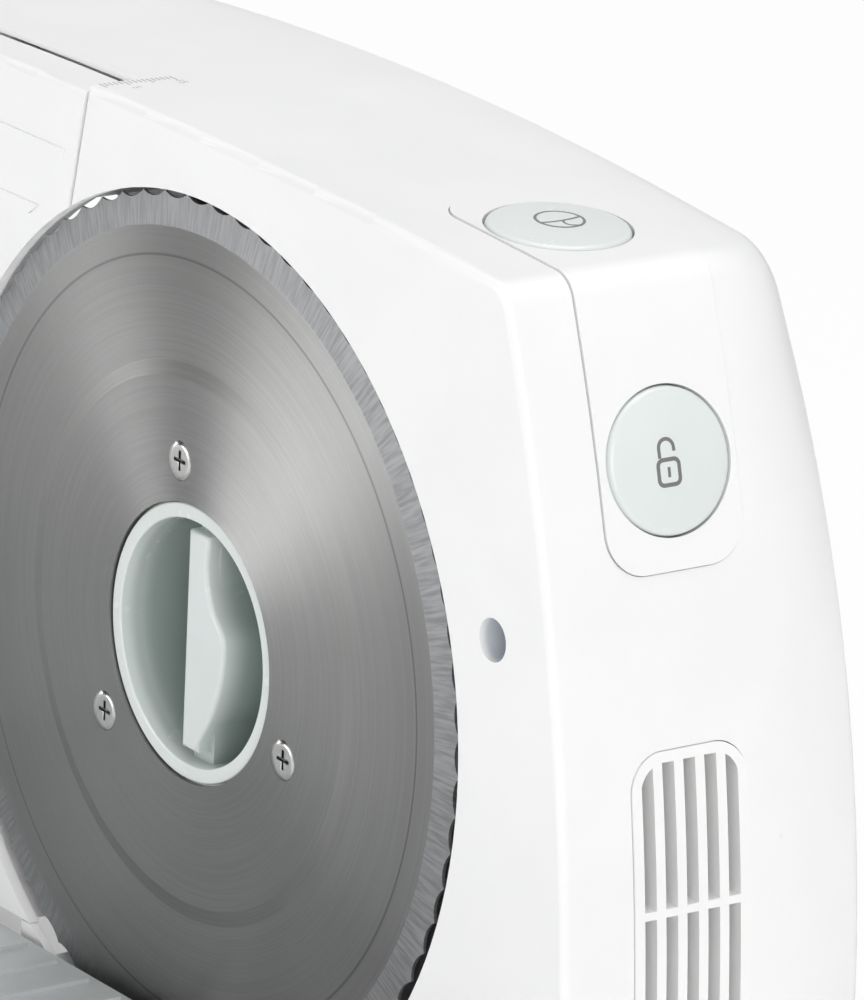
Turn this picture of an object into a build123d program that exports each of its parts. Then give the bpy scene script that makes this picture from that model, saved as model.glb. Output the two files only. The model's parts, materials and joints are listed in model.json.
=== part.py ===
from build123d import *
from math import acos, atan2, cos, degrees, pi, radians, sin, sqrt, tan
import os

os.makedirs("parts", exist_ok=True)

# An electric food slicer for the kitchen. It stands on four rubber feet. X runs to the
# right along the blade's face, Y runs away from the cook into the casing, and Z is up.
# The origin lies on the table, under the middle of the machine. Depths are measured from
# the casing's flat front, and places round the blade are measured from its centre.

# Driving sizes of the whole machine
blade_radius = 85.0
blade_x = 35.0
blade_z = 130.0
body_depth = 68.0
body_top = 227.9
body_half_width = 158.0
base_top = 29.0
carriage_reach = 149.0
dial_reach = 15.0
overrun = 4.0
front_y = (carriage_reach - body_depth - dial_reach) / 2
back_y = front_y + body_depth

# The casing's arched outline
arch_radius = 1900.0
side_radius = 438.2
side_peak_drop = 161.1
side_peak_z = body_top - side_peak_drop
outline_corner = 6.0
wall = 2.4
back_edge_radius = 2.5
back_start = 45.0
back_steps = 6
back_fall = 2.0
back_top = body_top - back_fall
back_arch_radius = 850.0
back_tuck = 2.7
back_half_width = body_half_width - back_tuck
back_side_radius = 252.6
back_peak_rise = 14.8
back_side_peak_z = side_peak_z + back_peak_rise
back_corner = 19.8
seam_depth = 1.8
fit_gap = 0.3
slip_gap = 0.15
running_gap = 0.06

# The blade's sheet, step, ground edge and round teeth
blade_thickness = 1.3
blade_bore = 26.9
blade_face_depth = 0.5
blade_step_inner = 50.5
blade_step_outer = 53.5
blade_step_drop = 0.5
grind_radius = 78.5
grind_drop = 0.8
tooth_height = 1.2
tooth_count = 72
blade_screw_circle = 34.65
blade_screw_angles = (98.2, 218.2, 338.2)
blade_screw_radius = 2.0
blade_screw_head = 3.9
blade_screw_length = 8.5
screw_head_share = 0.55

# The round opening that the blade turns in, whose centre sits a little low and right
opening_radius = 86.8
opening_shift_x = 0.5
opening_shift_z = 1.2

# The blade lock: a round cup with a grip across it, which turns to free the blade
lock_radius = 26.6
lock_rim_depth = 1.05
lock_rim_width = 2.9
lock_cup_depth = 18.0
lock_floor = 2.0
lock_boss_radius = 8.6
lock_boss_height = 6.0
lock_neck_radius = 9.2
grip_set_back = 0.95
grip_end_depth = 4.0
grip_left = -3.3
grip_end = 21.3
grip_corner = 1.4
grip_edge_radius = 0.9
grip_edge = (
    (3.2, 19.4),
    (3.0, 13.2),
    (4.2, 9.6),
    (6.4, 6.4),
    (9.0, 3.3),
    (9.4, -0.6),
    (9.0, -4.6),
    (7.7, -8.9),
    (5.7, -13.5),
    (3.6, -16.9),
    (1.8, -19.6),
)
lock_rim_edge = 0.4
lug_height = 1.3
lug_arc = 26.0
lug_depth = 2.4
lug_start = 10.0

# The axle that carries the blade, and its bush
axle_radius = 6.0
axle_start = 15.5
axle_seat_length = 9.0
bush_radius = 8.5

# The blade's gear
gear_pressure_angle = 25.0
gear_addendum_share = 0.8
gear_root_share = 1.05
blade_gear_teeth = 72
blade_gear_module = 1.4
blade_gear_start = 5.5
blade_gear_width = 8.5
blade_gear_plate = 2.6
blade_gear_rim = 4.0
carrier_tube_wall = 3.4
carrier_floor = 3.0
carrier_hub_length = 17.0
screw_boss_radius = 4.6
screw_boss_length = 6.5
blade_backlash = 0.16

# The double gear between motor and blade
idler_small_teeth = 12
idler_large_teeth = 60
idler_module = 0.8
idler_large_start = 23.0
idler_large_width = 6.0
idler_angle = -5.0
idler_pin_radius = 3.0
idler_hub_radius = 6.0
idler_boss_radius = 8.0
idler_pin_head = 4.4
idler_pin_head_length = 1.2
pinion_hole_gap = 0.8
motor_backlash = 0.12

# The motor
motor_teeth = 10
motor_angle = -45.0
motor_radius = 21.0
motor_length = 29.0
motor_shell = 1.5
motor_shaft_radius = 2.0
motor_bush_radius = 4.0
motor_bush_length = 5.0
magnet_thickness = 3.2
magnet_arc = 130.0
magnet_end_gap = 3.5
armature_radius = 15.6
armature_end_gap = 6.0
pinion_overhang = 1.0
motor_screw_radius = 1.4
motor_screw_head = 2.5
motor_screw_spacing = 12.0
motor_screw_length = 5.0
armature_slots = 12
armature_slot_width = 1.6
armature_slot_depth = 6.0
motor_plate_depth = 31.0
motor_plate_thickness = 2.0

# The gear frame that carries axle and motor plate inside the casing
frame_depth = 17.0
frame_thickness = 3.0
frame_radius = 58.0
frame_wall = 2.4
frame_wall_back_x = -12.0
frame_wall_start = 6.4
frame_reach = 108.0
frame_low = -58.0
frame_high = 38.0
pot_wall = 1.8
pot_floor = 3.0
axle_seat_radius = 11.0
post_radius = 5.0
post_places = ((102.0, 24.0), (101.0, -51.0), (-34.5, -35.5), (-34.0, 37.0))
frame_screw_radius = 1.9
frame_screw_head = 3.6
frame_screw_length = 14.0
standoff_radius = 4.0
standoff_pad_radius = 6.5
plate_screw_radius = 1.6
plate_screw_head = 3.0
plate_screw_length = 8.0
standoff_places = ((34.5, 29.0), (88.5, 15.0), (45.0, -50.0))

# The slice passage behind the fence, which runs through the casing to the back
passage_left = -122.0
passage_right = -29.0
passage_top = 202.0
passage_corner = 14.0
bulkhead_depth = 26.0

# The fence, its ribs, and the roof that it slides under
fence_split_top_x = -39.4
fence_split_low_x = -44.2
fence_split_low_z = 74.6
fence_thickness = 2.2
fence_bottom = -71.8
fence_margin = 1.25
fence_flange = 9.9
fence_flange_wall = 2.0
roof_thickness = 1.0
roof_start = 10.5
roof_side_height = 88.0
fence_rib_first = 82.8
fence_rib_pitch = 12.9
fence_rib_count = 12
fence_rib_width = 2.4
fence_rib_height = 0.5
fence_rib_margin = 4.0
cover_foot_left = -53.0

# Fence guides, spindle and thickness dial
column_x = -137.0
guide_low_z = 95.0
guide_top_x = -65.0
guide_top_z = 214.0
spindle_z = 140.0
guide_rod_radius = 3.0
guide_rod_start = 18.8
dial_bore_depth = 9.6
fence_edge_radius = 1.5
fence_ring_depth = 4.0
sleeve_radius = 6.2
sleeve_end = 32.0
spindle_radius = 4.0
nut_radius = 6.2
nut_length = 12.0
nut_boss_radius = 8.2
guide_socket_radius = 6.0
guide_socket_length = 8.0
spindle_collar_radius = 6.6
spindle_collar_length = 2.0
spindle_bush_start = 59.0
spindle_bush_radius = 6.4
spindle_bush_length = 9.0
dial_radius = 17.5
dial_gap = 0.4
dial_edge = 1.6
dial_groove_count = 24
dial_groove_radius = 0.9

# The raised panel that wraps over the top right corner, with its two buttons
panel_front = 14.05
panel_back = 44.0
panel_start_x = 52.2
panel_end_z = 42.3
panel_corner = 8.0
panel_proud = 0.35
panel_sunk = 1.0
button_radius = 13.25
button_gap = 0.35
button_height = 1.5
button_edge = 1.2
button_rim_radius = 1.4
button_travel = 3.0
button_flange = 15.2
button_flange_top = 3.4
button_flange_thickness = 1.5
stem_radius = 3.0
stem_length = 10.2
spring_inner = 3.9
spring_outer = 5.6
switch_shelf_depth = 12.6
switch_shelf_thickness = 2.0
switch_width = 6.6
switch_height = 10.0
switch_length = 20.0
switch_gap = 0.3
switch_plunger_radius = 1.2
switch_plunger_length = 1.4
shelf_width = 11.4
shelf_start = 17.0
slice_button_x = 71.5
slice_button_depth = 27.9
lock_button_z = 60.9
lock_button_depth = 29.2

# The vent on the right side
vent_depth = 28.2
vent_z = -17.4
vent_width = 25.4
vent_height = 57.8
vent_corner = 7.0
vent_proud = 0.35
vent_border = 1.9
vent_rim_width = 2.0
vent_rim_thickness = 1.2
slot_width = 2.6
slot_pitch = 4.65
slot_count = 5
slot_bar = 1.5

# The small blind hole in the front that parks an accessory's peg
peg_hole_x = 95.6
peg_hole_z = 29.4
peg_hole_radius = 4.0
peg_hole_depth = 9.0
peg_hole_wall = 1.6

# The well round the blade behind the front cover
well_wall = 1.6
well_gap = 1.0
well_depth = 15.5
cover_lip = 5.0
cover_lip_wall = 1.8
cover_edge_radius = 1.5

# The base, its feet and the carriage's rail
foot_height = 6.0
foot_radius = 11.0
foot_recess = 1.0
foot_inset_x = 22.0
foot_inset_y = 20.0
base_margin = 2.0
base_wall = 3.0
base_corner = 16.0
base_back_corner = 7.0
foot_boss_wall = 3.0
base_edge = 3.0
rail_radius = 4.0
rail_z = 38.5
rail_from_front = 62.0
rail_post_width = 9.0
rail_post_depth = 16.0
rail_post_rise = 2.0
base_screw_radius = 2.0
base_screw_head = 3.8
base_screw_length = 24.0
base_screw_seat = 14.0
base_boss_radius = 5.0
base_boss_height = 24.0
base_boss_inset = 4.6
base_boss_back_inset = 9.0

# The carriage that the food rides on
carriage_top = 56.0
carriage_plate = 3.0
carriage_width = 150.0
carriage_depth = 137.0
carriage_gap = 2.0
carriage_rest_x = -117.0
carriage_skirt_bottom = 33.0
carriage_corner = 6.0
carriage_rib_pitch = 11.0
carriage_rib_first = 7.5
carriage_rib_width = 2.0
carriage_rib_height = 0.8
bearing_radius = 8.0
bearing_sleeve = 6.0
bearing_length = 18.0
bearing_spread = 50.0
glide_width = 10.0
glide_length = 90.0
glide_from_front = 118.0
glide_thickness = 5.7
glide_groove = 2.0
side_skirt_bottom = 46.0
guard_height = 62.0
guard_thickness = 3.0
guard_margin = 14.0
guard_corner = 18.0

# The cable's inlet in the back
gland_x = 62.0
gland_z = -84.0
gland_radius = 6.0
gland_flange = 9.0
gland_flange_thickness = 2.5
gland_length = 7.0
gland_bore = 3.3

# Places worked out from the sizes above
opening_x = blade_x + opening_shift_x
opening_z = blade_z - opening_shift_z
gear_pitch_radius = blade_gear_teeth * blade_gear_module / 2
small_pitch_radius = idler_small_teeth * blade_gear_module / 2
large_pitch_radius = idler_large_teeth * idler_module / 2
motor_pitch_radius = motor_teeth * idler_module / 2
idler_distance = gear_pitch_radius + small_pitch_radius
idler_x = blade_x + idler_distance * cos(radians(idler_angle))
idler_z = blade_z + idler_distance * sin(radians(idler_angle))
motor_distance = large_pitch_radius + motor_pitch_radius
motor_x = idler_x + motor_distance * cos(radians(motor_angle))
motor_z = idler_z + motor_distance * sin(radians(motor_angle))
motor_start = motor_plate_depth + motor_plate_thickness
motor_end = motor_start + motor_length
carrier_tube_radius = lock_radius + running_gap + carrier_tube_wall
cup_floor_depth = lock_rim_depth + lock_cup_depth
lock_back = cup_floor_depth + lock_floor
carrier_floor_start = lock_back + fit_gap
carrier_floor_end = carrier_floor_start + carrier_floor
carrier_hub_end = carrier_floor_end + carrier_hub_length
pot_radius = carrier_tube_radius + fit_gap * 3
pot_end = carrier_hub_end + fit_gap * 3
axle_end = pot_end + axle_seat_length
frame_back = frame_depth + frame_thickness


def from_front(depth):
    """A drawing plane that faces the cook, at a depth behind the casing's front."""
    return Plane(origin=(0, front_y + depth, 0), x_dir=(1, 0, 0), z_dir=(0, -1, 0))


def at_point(x, z, depth):
    """The same plane with its origin at a place on the front view."""
    return Plane(origin=(x, front_y + depth, z), x_dir=(1, 0, 0), z_dir=(0, -1, 0))


def section_at(x, z):
    """A half section plane: radius to the right, depth upwards, for turned pieces."""
    return Plane(origin=(x, front_y, z), x_dir=(1, 0, 0), z_dir=(0, 0, 1))


def axle_line(x, z):
    """The line parallel to the blade's axle through a place on the front view."""
    return Axis(origin=(x, front_y, z), direction=(0, 1, 0))


def body_outline(grow=0.0, back_share=0.0):
    """The casing's arched front view, or with a share of 1 its rounder back view."""
    top = body_top + (back_top - body_top) * back_share
    arch = arch_radius + (back_arch_radius - arch_radius) * back_share
    half_width = body_half_width + (back_half_width - body_half_width) * back_share
    side = side_radius + (back_side_radius - side_radius) * back_share
    peak = side_peak_z + (back_side_peak_z - side_peak_z) * back_share
    corner = outline_corner + (back_corner - outline_corner) * back_share
    side_centre = half_width - side
    with BuildSketch() as sketch:
        with Locations((0, base_top)):
            Rectangle(half_width * 3, top, align=(Align.CENTER, Align.MIN))
        with Locations((0, top - arch)):
            Circle(arch + grow, mode=Mode.INTERSECT)
        with Locations((side_centre, peak)):
            Circle(side + grow, mode=Mode.INTERSECT)
        with Locations((-side_centre, peak)):
            Circle(side + grow, mode=Mode.INTERSECT)
        fillet(sketch.vertices().group_by(Axis.Y)[-1], corner + grow)
    return sketch.sketch


def rounded_back(margin=0.0):
    """The rear of the casing, drawn in steps that narrow faster and faster to the back."""
    length = body_depth - back_start - margin
    with BuildPart() as back:
        for step in range(back_steps + 1):
            depth = back_start + length * step / back_steps
            share = (depth - back_start) / (body_depth - back_start)
            with BuildSketch(from_front(depth)):
                add(body_outline(-margin, share**2))
        loft(ruled=True)
    return back.part


def side_x(z_from_blade):
    """How far right of the blade's centre the casing's right side lies at a height."""
    rise = blade_z + z_from_blade - side_peak_z
    return body_half_width - side_radius + sqrt(side_radius**2 - rise**2) - blade_x


def top_z(x_from_blade):
    """How high above the blade's centre the casing's top lies at a place along it."""
    run = blade_x + x_from_blade
    return body_top - arch_radius + sqrt(arch_radius**2 - run**2) - blade_z


def left_of_split(margin=0.0):
    """All that lies left of the line where the fence meets the front cover."""
    slope = (fence_split_top_x - fence_split_low_x) / (top_z(fence_split_top_x) - fence_split_low_z)
    far = body_half_width * 2
    high = body_top * 2
    top_x = fence_split_low_x + slope * (high - fence_split_low_z) + margin
    low_x = fence_split_low_x + margin
    with BuildSketch() as sketch:
        with BuildLine():
            Polyline(
                (-far, high + blade_z),
                (blade_x + top_x, high + blade_z),
                (blade_x + low_x, fence_split_low_z + blade_z),
                (blade_x + low_x, base_top - overrun),
                (-far, base_top - overrun),
                close=True,
            )
        make_face()
    return sketch.sketch


def passage_outline(grow=0.0):
    """The slice passage's front view, open at the bottom onto the base."""
    low = base_top - overrun
    with BuildSketch() as sketch:
        with Locations(((passage_left + passage_right) / 2, low)):
            Rectangle(
                passage_right - passage_left + 2 * grow,
                passage_top - low + grow,
                align=(Align.CENTER, Align.MIN),
            )
        fillet(sketch.vertices().group_by(Axis.Y)[-1], passage_corner + grow)
    return sketch.sketch


def gear_outline(teeth, module, backlash, turn=0.0):
    """Involute teeth, each flank an arc through three points of its involute."""
    pitch = teeth * module / 2
    base = pitch * cos(radians(gear_pressure_angle))
    tip = pitch + gear_addendum_share * module
    root = pitch - gear_root_share * module
    start = max(base, root)
    involute_at_pitch = tan(radians(gear_pressure_angle)) - radians(gear_pressure_angle)
    half_tooth = (pi * module / 2 - backlash / 2) / (2 * pitch)

    def flank(radius):
        """Half the angle that a tooth fills at a radius."""
        pressure = acos(min(1, base / radius))
        return half_tooth + involute_at_pitch - (tan(pressure) - pressure)

    def place(radius, angle):
        return (radius * cos(angle), radius * sin(angle))

    with BuildSketch() as sketch:
        with BuildLine():
            for tooth in range(teeth):
                centre = 2 * pi * tooth / teeth + radians(turn)
                following = centre + 2 * pi / teeth
                middle = (start + tip) / 2
                foot = flank(start)
                if root < start:
                    Line(place(root, centre - foot), place(start, centre - foot))
                ThreePointArc(
                    place(start, centre - foot),
                    place(middle, centre - flank(middle)),
                    place(tip, centre - flank(tip)),
                )
                Line(place(tip, centre - flank(tip)), place(tip, centre + flank(tip)))
                ThreePointArc(
                    place(tip, centre + flank(tip)),
                    place(middle, centre + flank(middle)),
                    place(start, centre + foot),
                )
                if root < start:
                    Line(place(start, centre + foot), place(root, centre + foot))
                Line(place(root, centre + foot), place(root, following - foot))
        make_face()
    return sketch.sketch


def screw_form(plane, radius, head_radius, length):
    """The space that a flat-headed screw fills, its head on the plane."""
    head = (head_radius - radius) * screw_head_share
    with BuildPart(plane) as form:
        Cylinder(radius, length, align=(Align.CENTER, Align.CENTER, Align.MAX))
        Cone(radius, head_radius, head, align=(Align.CENTER, Align.CENTER, Align.MAX))
    return form.part


def from_back(x, z, depth):
    """A plane that faces the machine's back, its origin at a place on the front view."""
    return Plane(origin=(x, front_y + depth, z), x_dir=(-1, 0, 0), z_dir=(0, 1, 0))


def from_below(x, y, height):
    """A plane that faces the table, its origin at a place on the plan view."""
    return Plane(origin=(x, y, height), x_dir=(1, 0, 0), z_dir=(0, 0, -1))


def countersunk_screw(plane, radius, head_radius, length):
    """A cross-head screw, its flat head on the plane and its shank behind it."""
    recess = (head_radius - radius) * screw_head_share
    with BuildPart() as screw:
        add(screw_form(plane, radius, head_radius, length))
        with Locations(plane):
            Box(head_radius, recess / 2, recess, mode=Mode.SUBTRACT)
            Box(recess / 2, head_radius, recess, mode=Mode.SUBTRACT)
    return screw.part


def surface_plane(x, z, depth, normal_x, normal_z):
    """A button's own plane: on the panel's face, with the way out as its third axis."""
    origin = (x + normal_x * panel_proud, front_y + depth, z + normal_z * panel_proud)
    return Plane(origin=origin, x_dir=(0, 1, 0), z_dir=(normal_x, 0, normal_z))


def panel_band(margin, outside, inside):
    """The plate that wraps over the casing's corner, with round ends."""
    depth = panel_back - panel_front + 2 * margin
    middle_y = front_y + (panel_back + panel_front) / 2
    left_x = blade_x + panel_start_x - margin
    low_z = blade_z + panel_end_z - margin
    with BuildPart() as band:
        with BuildSketch(from_front(panel_front - margin)):
            add(body_outline(outside))
            add(body_outline(-inside), mode=Mode.SUBTRACT)
        extrude(amount=-depth)
        with BuildSketch(Plane.XY):
            with Locations((left_x + body_half_width, middle_y)):
                RectangleRounded(2 * body_half_width, depth, panel_corner + margin)
        extrude(amount=2 * body_top, mode=Mode.INTERSECT)
        with BuildSketch(Plane.YZ):
            with Locations((middle_y, low_z + body_top / 2)):
                RectangleRounded(depth, body_top, panel_corner + margin)
        extrude(amount=2 * body_half_width, mode=Mode.INTERSECT)
    return band.part


slice_tilt = (blade_x + slice_button_x) / arch_radius
slice_plane = surface_plane(
    blade_x + slice_button_x,
    blade_z + top_z(slice_button_x),
    slice_button_depth,
    slice_tilt,
    sqrt(1 - slice_tilt**2),
)
lock_tilt = (blade_z + lock_button_z - side_peak_z) / side_radius
lock_plane = surface_plane(
    blade_x + side_x(lock_button_z),
    blade_z + lock_button_z,
    lock_button_depth,
    sqrt(1 - lock_tilt**2),
    lock_tilt,
)
vent_plane = Plane(
    origin=(body_half_width, front_y + vent_depth, blade_z + vent_z),
    x_dir=(0, 1, 0),
    z_dir=(1, 0, 0),
)
guide_places = ((column_x, guide_low_z), (guide_top_x, guide_top_z))
frame_posts = [(blade_x + x, blade_z + z) for x, z in post_places]
standoffs = [(blade_x + x, blade_z + z) for x, z in standoff_places]
base_boss_rows = (
    (base_boss_inset, front_y + bulkhead_depth + wall + base_boss_radius),
    (base_boss_back_inset, back_y - wall - base_boss_radius),
)
base_boss_places = [
    (side * (body_half_width - wall - inset), y) for side in (-1, 1) for inset, y in base_boss_rows
]

# Rear housing: the arched shell, its thin roof over the fence and the slice passage
with BuildPart() as rear_housing:
    with BuildSketch(from_front(seam_depth)):
        add(body_outline())
    extrude(amount=seam_depth - back_start)
    add(rounded_back())
    back_rim = rear_housing.faces().sort_by(Axis.Y)[-1].edges()
    fillet(back_rim.sort_by(Axis.Z)[1:], back_edge_radius)
    with BuildSketch(from_front(seam_depth)):
        add(body_outline(-wall))
    extrude(amount=seam_depth - back_start, mode=Mode.SUBTRACT)
    add(rounded_back(wall), mode=Mode.SUBTRACT)
    # The space that the fence moves in, open to the front and to the left
    with BuildSketch(from_front(seam_depth)):
        add(left_of_split())
    extrude(amount=seam_depth - roof_start, mode=Mode.SUBTRACT)
    with BuildSketch(mode=Mode.PRIVATE) as roof_band:
        add(body_outline())
        add(body_outline(-roof_thickness), mode=Mode.SUBTRACT)
        with Locations((0, blade_z + roof_side_height)):
            Rectangle(
                body_half_width * 2,
                body_top,
                align=(Align.CENTER, Align.MIN),
                mode=Mode.INTERSECT,
            )
    with BuildSketch(from_front(roof_start)):
        add(left_of_split())
        add(roof_band.sketch, mode=Mode.SUBTRACT)
    extrude(amount=roof_start - bulkhead_depth, mode=Mode.SUBTRACT)
    # The bulkhead behind the fence and the walls of the passage
    with BuildSketch(from_front(bulkhead_depth)):
        add(body_outline(-wall / 2))
        add(left_of_split(), mode=Mode.INTERSECT)
        with Locations((blade_x, blade_z)):
            Circle(frame_radius + fit_gap, mode=Mode.SUBTRACT)
    extrude(amount=-wall)
    with BuildSketch(from_front(bulkhead_depth)):
        add(passage_outline(wall))
        add(body_outline(), mode=Mode.INTERSECT)
        with Locations((blade_x, blade_z)):
            Circle(frame_radius + fit_gap, mode=Mode.SUBTRACT)
    extrude(amount=bulkhead_depth - body_depth + wall / 2)
    with BuildSketch(from_front(seam_depth)):
        add(passage_outline())
    extrude(amount=-body_depth, mode=Mode.SUBTRACT)
    # Posts that carry the gear frame, sockets for the guide rods, boss for the spindle
    with BuildSketch(from_front(frame_back)):
        with Locations(*frame_posts):
            Circle(post_radius)
    extrude(amount=frame_back - body_depth + wall / 2)
    with BuildSketch(from_front(body_depth - wall / 2)):
        with Locations(*guide_places):
            Circle(guide_socket_radius)
        with Locations((column_x, spindle_z)):
            Circle(spindle_bush_radius + wall)
    extrude(amount=guide_socket_length)
    with BuildSketch(Plane.XY.offset(base_top)):
        with Locations(*base_boss_places):
            Circle(base_boss_radius)
    extrude(amount=base_boss_height)
    # Holes for screws, guides, spindle and cable
    with BuildSketch(from_front(frame_back)):
        with Locations(*frame_posts):
            Circle(frame_screw_radius + running_gap)
    extrude(amount=-frame_screw_length, mode=Mode.SUBTRACT)
    with BuildSketch(from_front(bulkhead_depth - overrun)):
        with Locations(*guide_places):
            Circle(sleeve_radius + fit_gap)
        with Locations((column_x, spindle_z)):
            Circle(nut_boss_radius + fit_gap)
    extrude(amount=-wall - 2 * overrun, mode=Mode.SUBTRACT)
    with BuildSketch(from_front(body_depth - wall)):
        with Locations(*guide_places):
            Circle(guide_rod_radius)
    extrude(amount=overrun + guide_socket_length, mode=Mode.SUBTRACT)
    with BuildSketch(from_front(body_depth + overrun)):
        with Locations((column_x, spindle_z)):
            Circle(spindle_bush_radius)
        with Locations((blade_x + gland_x, blade_z + gland_z)):
            Circle(gland_radius)
    extrude(amount=2 * overrun + guide_socket_length + wall, mode=Mode.SUBTRACT)
    with BuildSketch(Plane.XY.offset(base_top)):
        with Locations(*base_boss_places):
            Circle(base_screw_radius + running_gap)
    extrude(amount=base_screw_seat + base_screw_length - base_top + fit_gap, mode=Mode.SUBTRACT)
    # Seats of the button panel and the vent, and the wells of the two buttons
    add(panel_band(fit_gap, overrun, panel_sunk), mode=Mode.SUBTRACT)
    with BuildSketch(vent_plane):
        RectangleRounded(vent_width + 2 * slip_gap, vent_height + 2 * slip_gap, vent_corner)
    extrude(amount=3 * overrun, both=True, mode=Mode.SUBTRACT)
    with BuildSketch(slice_plane, lock_plane):
        Circle(button_radius + button_gap)
    extrude(amount=2 * wall, both=True, mode=Mode.SUBTRACT)
rear_housing.part.label = "rear_housing"
export_step(rear_housing.part, "parts/rear_housing.step")

# Front cover: the flat front with the blade's opening, its well and the peg hole
with BuildPart() as front_cover:
    with BuildSketch(from_front(0)):
        add(body_outline())
        add(left_of_split(), mode=Mode.SUBTRACT)
        with Locations((blade_x + cover_foot_left, base_top)):
            Rectangle(
                fence_split_low_x - cover_foot_left + fit_gap,
                blade_z + fence_bottom - fit_gap - base_top,
                align=(Align.MIN, Align.MIN),
            )
        with Locations((opening_x, opening_z)):
            Circle(opening_radius, mode=Mode.SUBTRACT)
    extrude(amount=-seam_depth)
    front_edges = front_cover.faces().sort_by(Axis.Y)[0].edges()
    rim_edges = front_edges.filter_by(
        lambda edge: edge.center().Z > opening_z + opening_radius
        or edge.center().X > opening_x + opening_radius
    )
    fillet(rim_edges, cover_edge_radius)
    # A lip that locates the cover inside the housing
    with BuildSketch(from_front(seam_depth)):
        add(body_outline(-wall - slip_gap))
        add(body_outline(-wall - slip_gap - cover_lip_wall), mode=Mode.SUBTRACT)
        add(left_of_split(cover_lip_wall), mode=Mode.SUBTRACT)
    extrude(amount=-cover_lip)
    # The well's wall, and the wall that closes the fence's space on the right
    with BuildSketch(from_front(seam_depth)):
        with Locations((opening_x, opening_z)):
            Circle(opening_radius + well_gap + well_wall)
        add(left_of_split(), mode=Mode.SUBTRACT)
        add(body_outline(-wall - slip_gap), mode=Mode.INTERSECT)
        with Locations((opening_x, opening_z)):
            Circle(opening_radius + well_gap, mode=Mode.SUBTRACT)
    extrude(amount=seam_depth - well_depth)
    with BuildSketch(from_front(seam_depth)):
        add(left_of_split(well_wall))
        add(left_of_split(), mode=Mode.SUBTRACT)
        add(body_outline(-wall - slip_gap), mode=Mode.INTERSECT)
        with Locations((opening_x, opening_z)):
            Circle(opening_radius + well_gap, mode=Mode.SUBTRACT)
    extrude(amount=seam_depth - bulkhead_depth + fit_gap)
    with BuildSketch(from_front(seam_depth)):
        with Locations((blade_x + peg_hole_x, blade_z + peg_hole_z)):
            Circle(peg_hole_radius + peg_hole_wall)
    extrude(amount=seam_depth - peg_hole_depth - peg_hole_wall)
    with BuildSketch(from_front(0)):
        with Locations((blade_x + peg_hole_x, blade_z + peg_hole_z)):
            Circle(peg_hole_radius)
    extrude(amount=-peg_hole_depth, mode=Mode.SUBTRACT)
front_cover.part.label = "front_cover"
export_step(front_cover.part, "parts/front_cover.step")

# Button panel: a thin plate over the top right corner with the wells of both buttons
with BuildPart() as button_panel:
    add(panel_band(0, panel_proud, panel_sunk))
    with BuildSketch(slice_plane, lock_plane):
        Circle(button_radius + button_gap)
    extrude(amount=2 * wall, both=True, mode=Mode.SUBTRACT)
button_panel.part.label = "button_panel"
export_step(button_panel.part, "parts/button_panel.step")

# Vent grille: a curved plate with five upright slots and a bar across them
slot_places = [
    ((step - (slot_count - 1) / 2) * slot_pitch, 0) for step in range(slot_count)
]


def vent_layer(border, outside, inside):
    """One layer of the grille: the slotted form, bounded by two margins of the casing."""
    with BuildPart() as layer:
        with BuildSketch(from_front(vent_depth - vent_width / 2 - border)):
            add(body_outline(outside))
            add(body_outline(-inside), mode=Mode.SUBTRACT)
        extrude(amount=-vent_width - 2 * border)
        with BuildSketch(mode=Mode.PRIVATE) as slots:
            with Locations(*slot_places):
                Rectangle(slot_width, vent_height)
            RectangleRounded(
                vent_width - 2 * vent_border,
                vent_height - 2 * vent_border,
                vent_corner - vent_border,
                mode=Mode.INTERSECT,
            )
            Rectangle(vent_width, slot_bar, mode=Mode.SUBTRACT)
        with BuildSketch(vent_plane):
            RectangleRounded(
                vent_width + 2 * border,
                vent_height + 2 * border,
                vent_corner + border,
            )
            add(slots.sketch, mode=Mode.SUBTRACT)
        extrude(amount=3 * overrun, both=True, mode=Mode.INTERSECT)
    return layer.part


with BuildPart() as vent_grille:
    add(vent_layer(0, vent_proud, wall))
    add(vent_layer(vent_rim_width, -wall, wall + vent_rim_thickness))
vent_grille.part.label = "vent_grille"
export_step(vent_grille.part, "parts/vent_grille.step")


def push_button(plane):
    """A domed cap with a flange that keeps it in its well and a stem to its switch."""
    dome_radius = (button_radius**2 + button_edge**2) / (2 * button_edge)
    section = Plane(origin=plane.origin, x_dir=plane.x_dir, z_dir=-plane.y_dir)
    with BuildPart() as button:
        with BuildSketch(section) as half:
            with Locations((0, -button_flange_top)):
                Rectangle(
                    button_radius,
                    button_height + button_flange_top,
                    align=(Align.MIN, Align.MIN),
                )
            with Locations((0, button_height - dome_radius)):
                Circle(dome_radius, mode=Mode.INTERSECT)
            cap_rim = half.vertices().group_by(Axis.X)[-1].sort_by(Axis.Y)[-1]
            fillet(cap_rim, button_rim_radius)
            with Locations((0, -button_flange_top)):
                Rectangle(button_flange, button_flange_thickness, align=(Align.MIN, Align.MAX))
                Rectangle(
                    stem_radius,
                    button_flange_thickness + stem_length,
                    align=(Align.MIN, Align.MAX),
                )
        revolve(axis=Axis(origin=plane.origin, direction=plane.z_dir))
    return button.part


def push_spring(plane):
    """The outer form of the coil spring between a button's flange and its shelf."""
    flange_bottom = button_flange_top + button_flange_thickness
    with BuildPart(plane) as spring:
        with Locations((0, 0, -flange_bottom)):
            Cylinder(
                spring_outer,
                switch_shelf_depth - flange_bottom,
                align=(Align.CENTER, Align.CENTER, Align.MAX),
            )
            Cylinder(
                spring_inner,
                switch_shelf_depth,
                align=(Align.CENTER, Align.CENTER, Align.MAX),
                mode=Mode.SUBTRACT,
            )
    return spring.part


stem_end = button_flange_top + button_flange_thickness + stem_length
plunger_top = stem_end + button_travel + switch_gap
switch_top = plunger_top + switch_plunger_length


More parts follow.
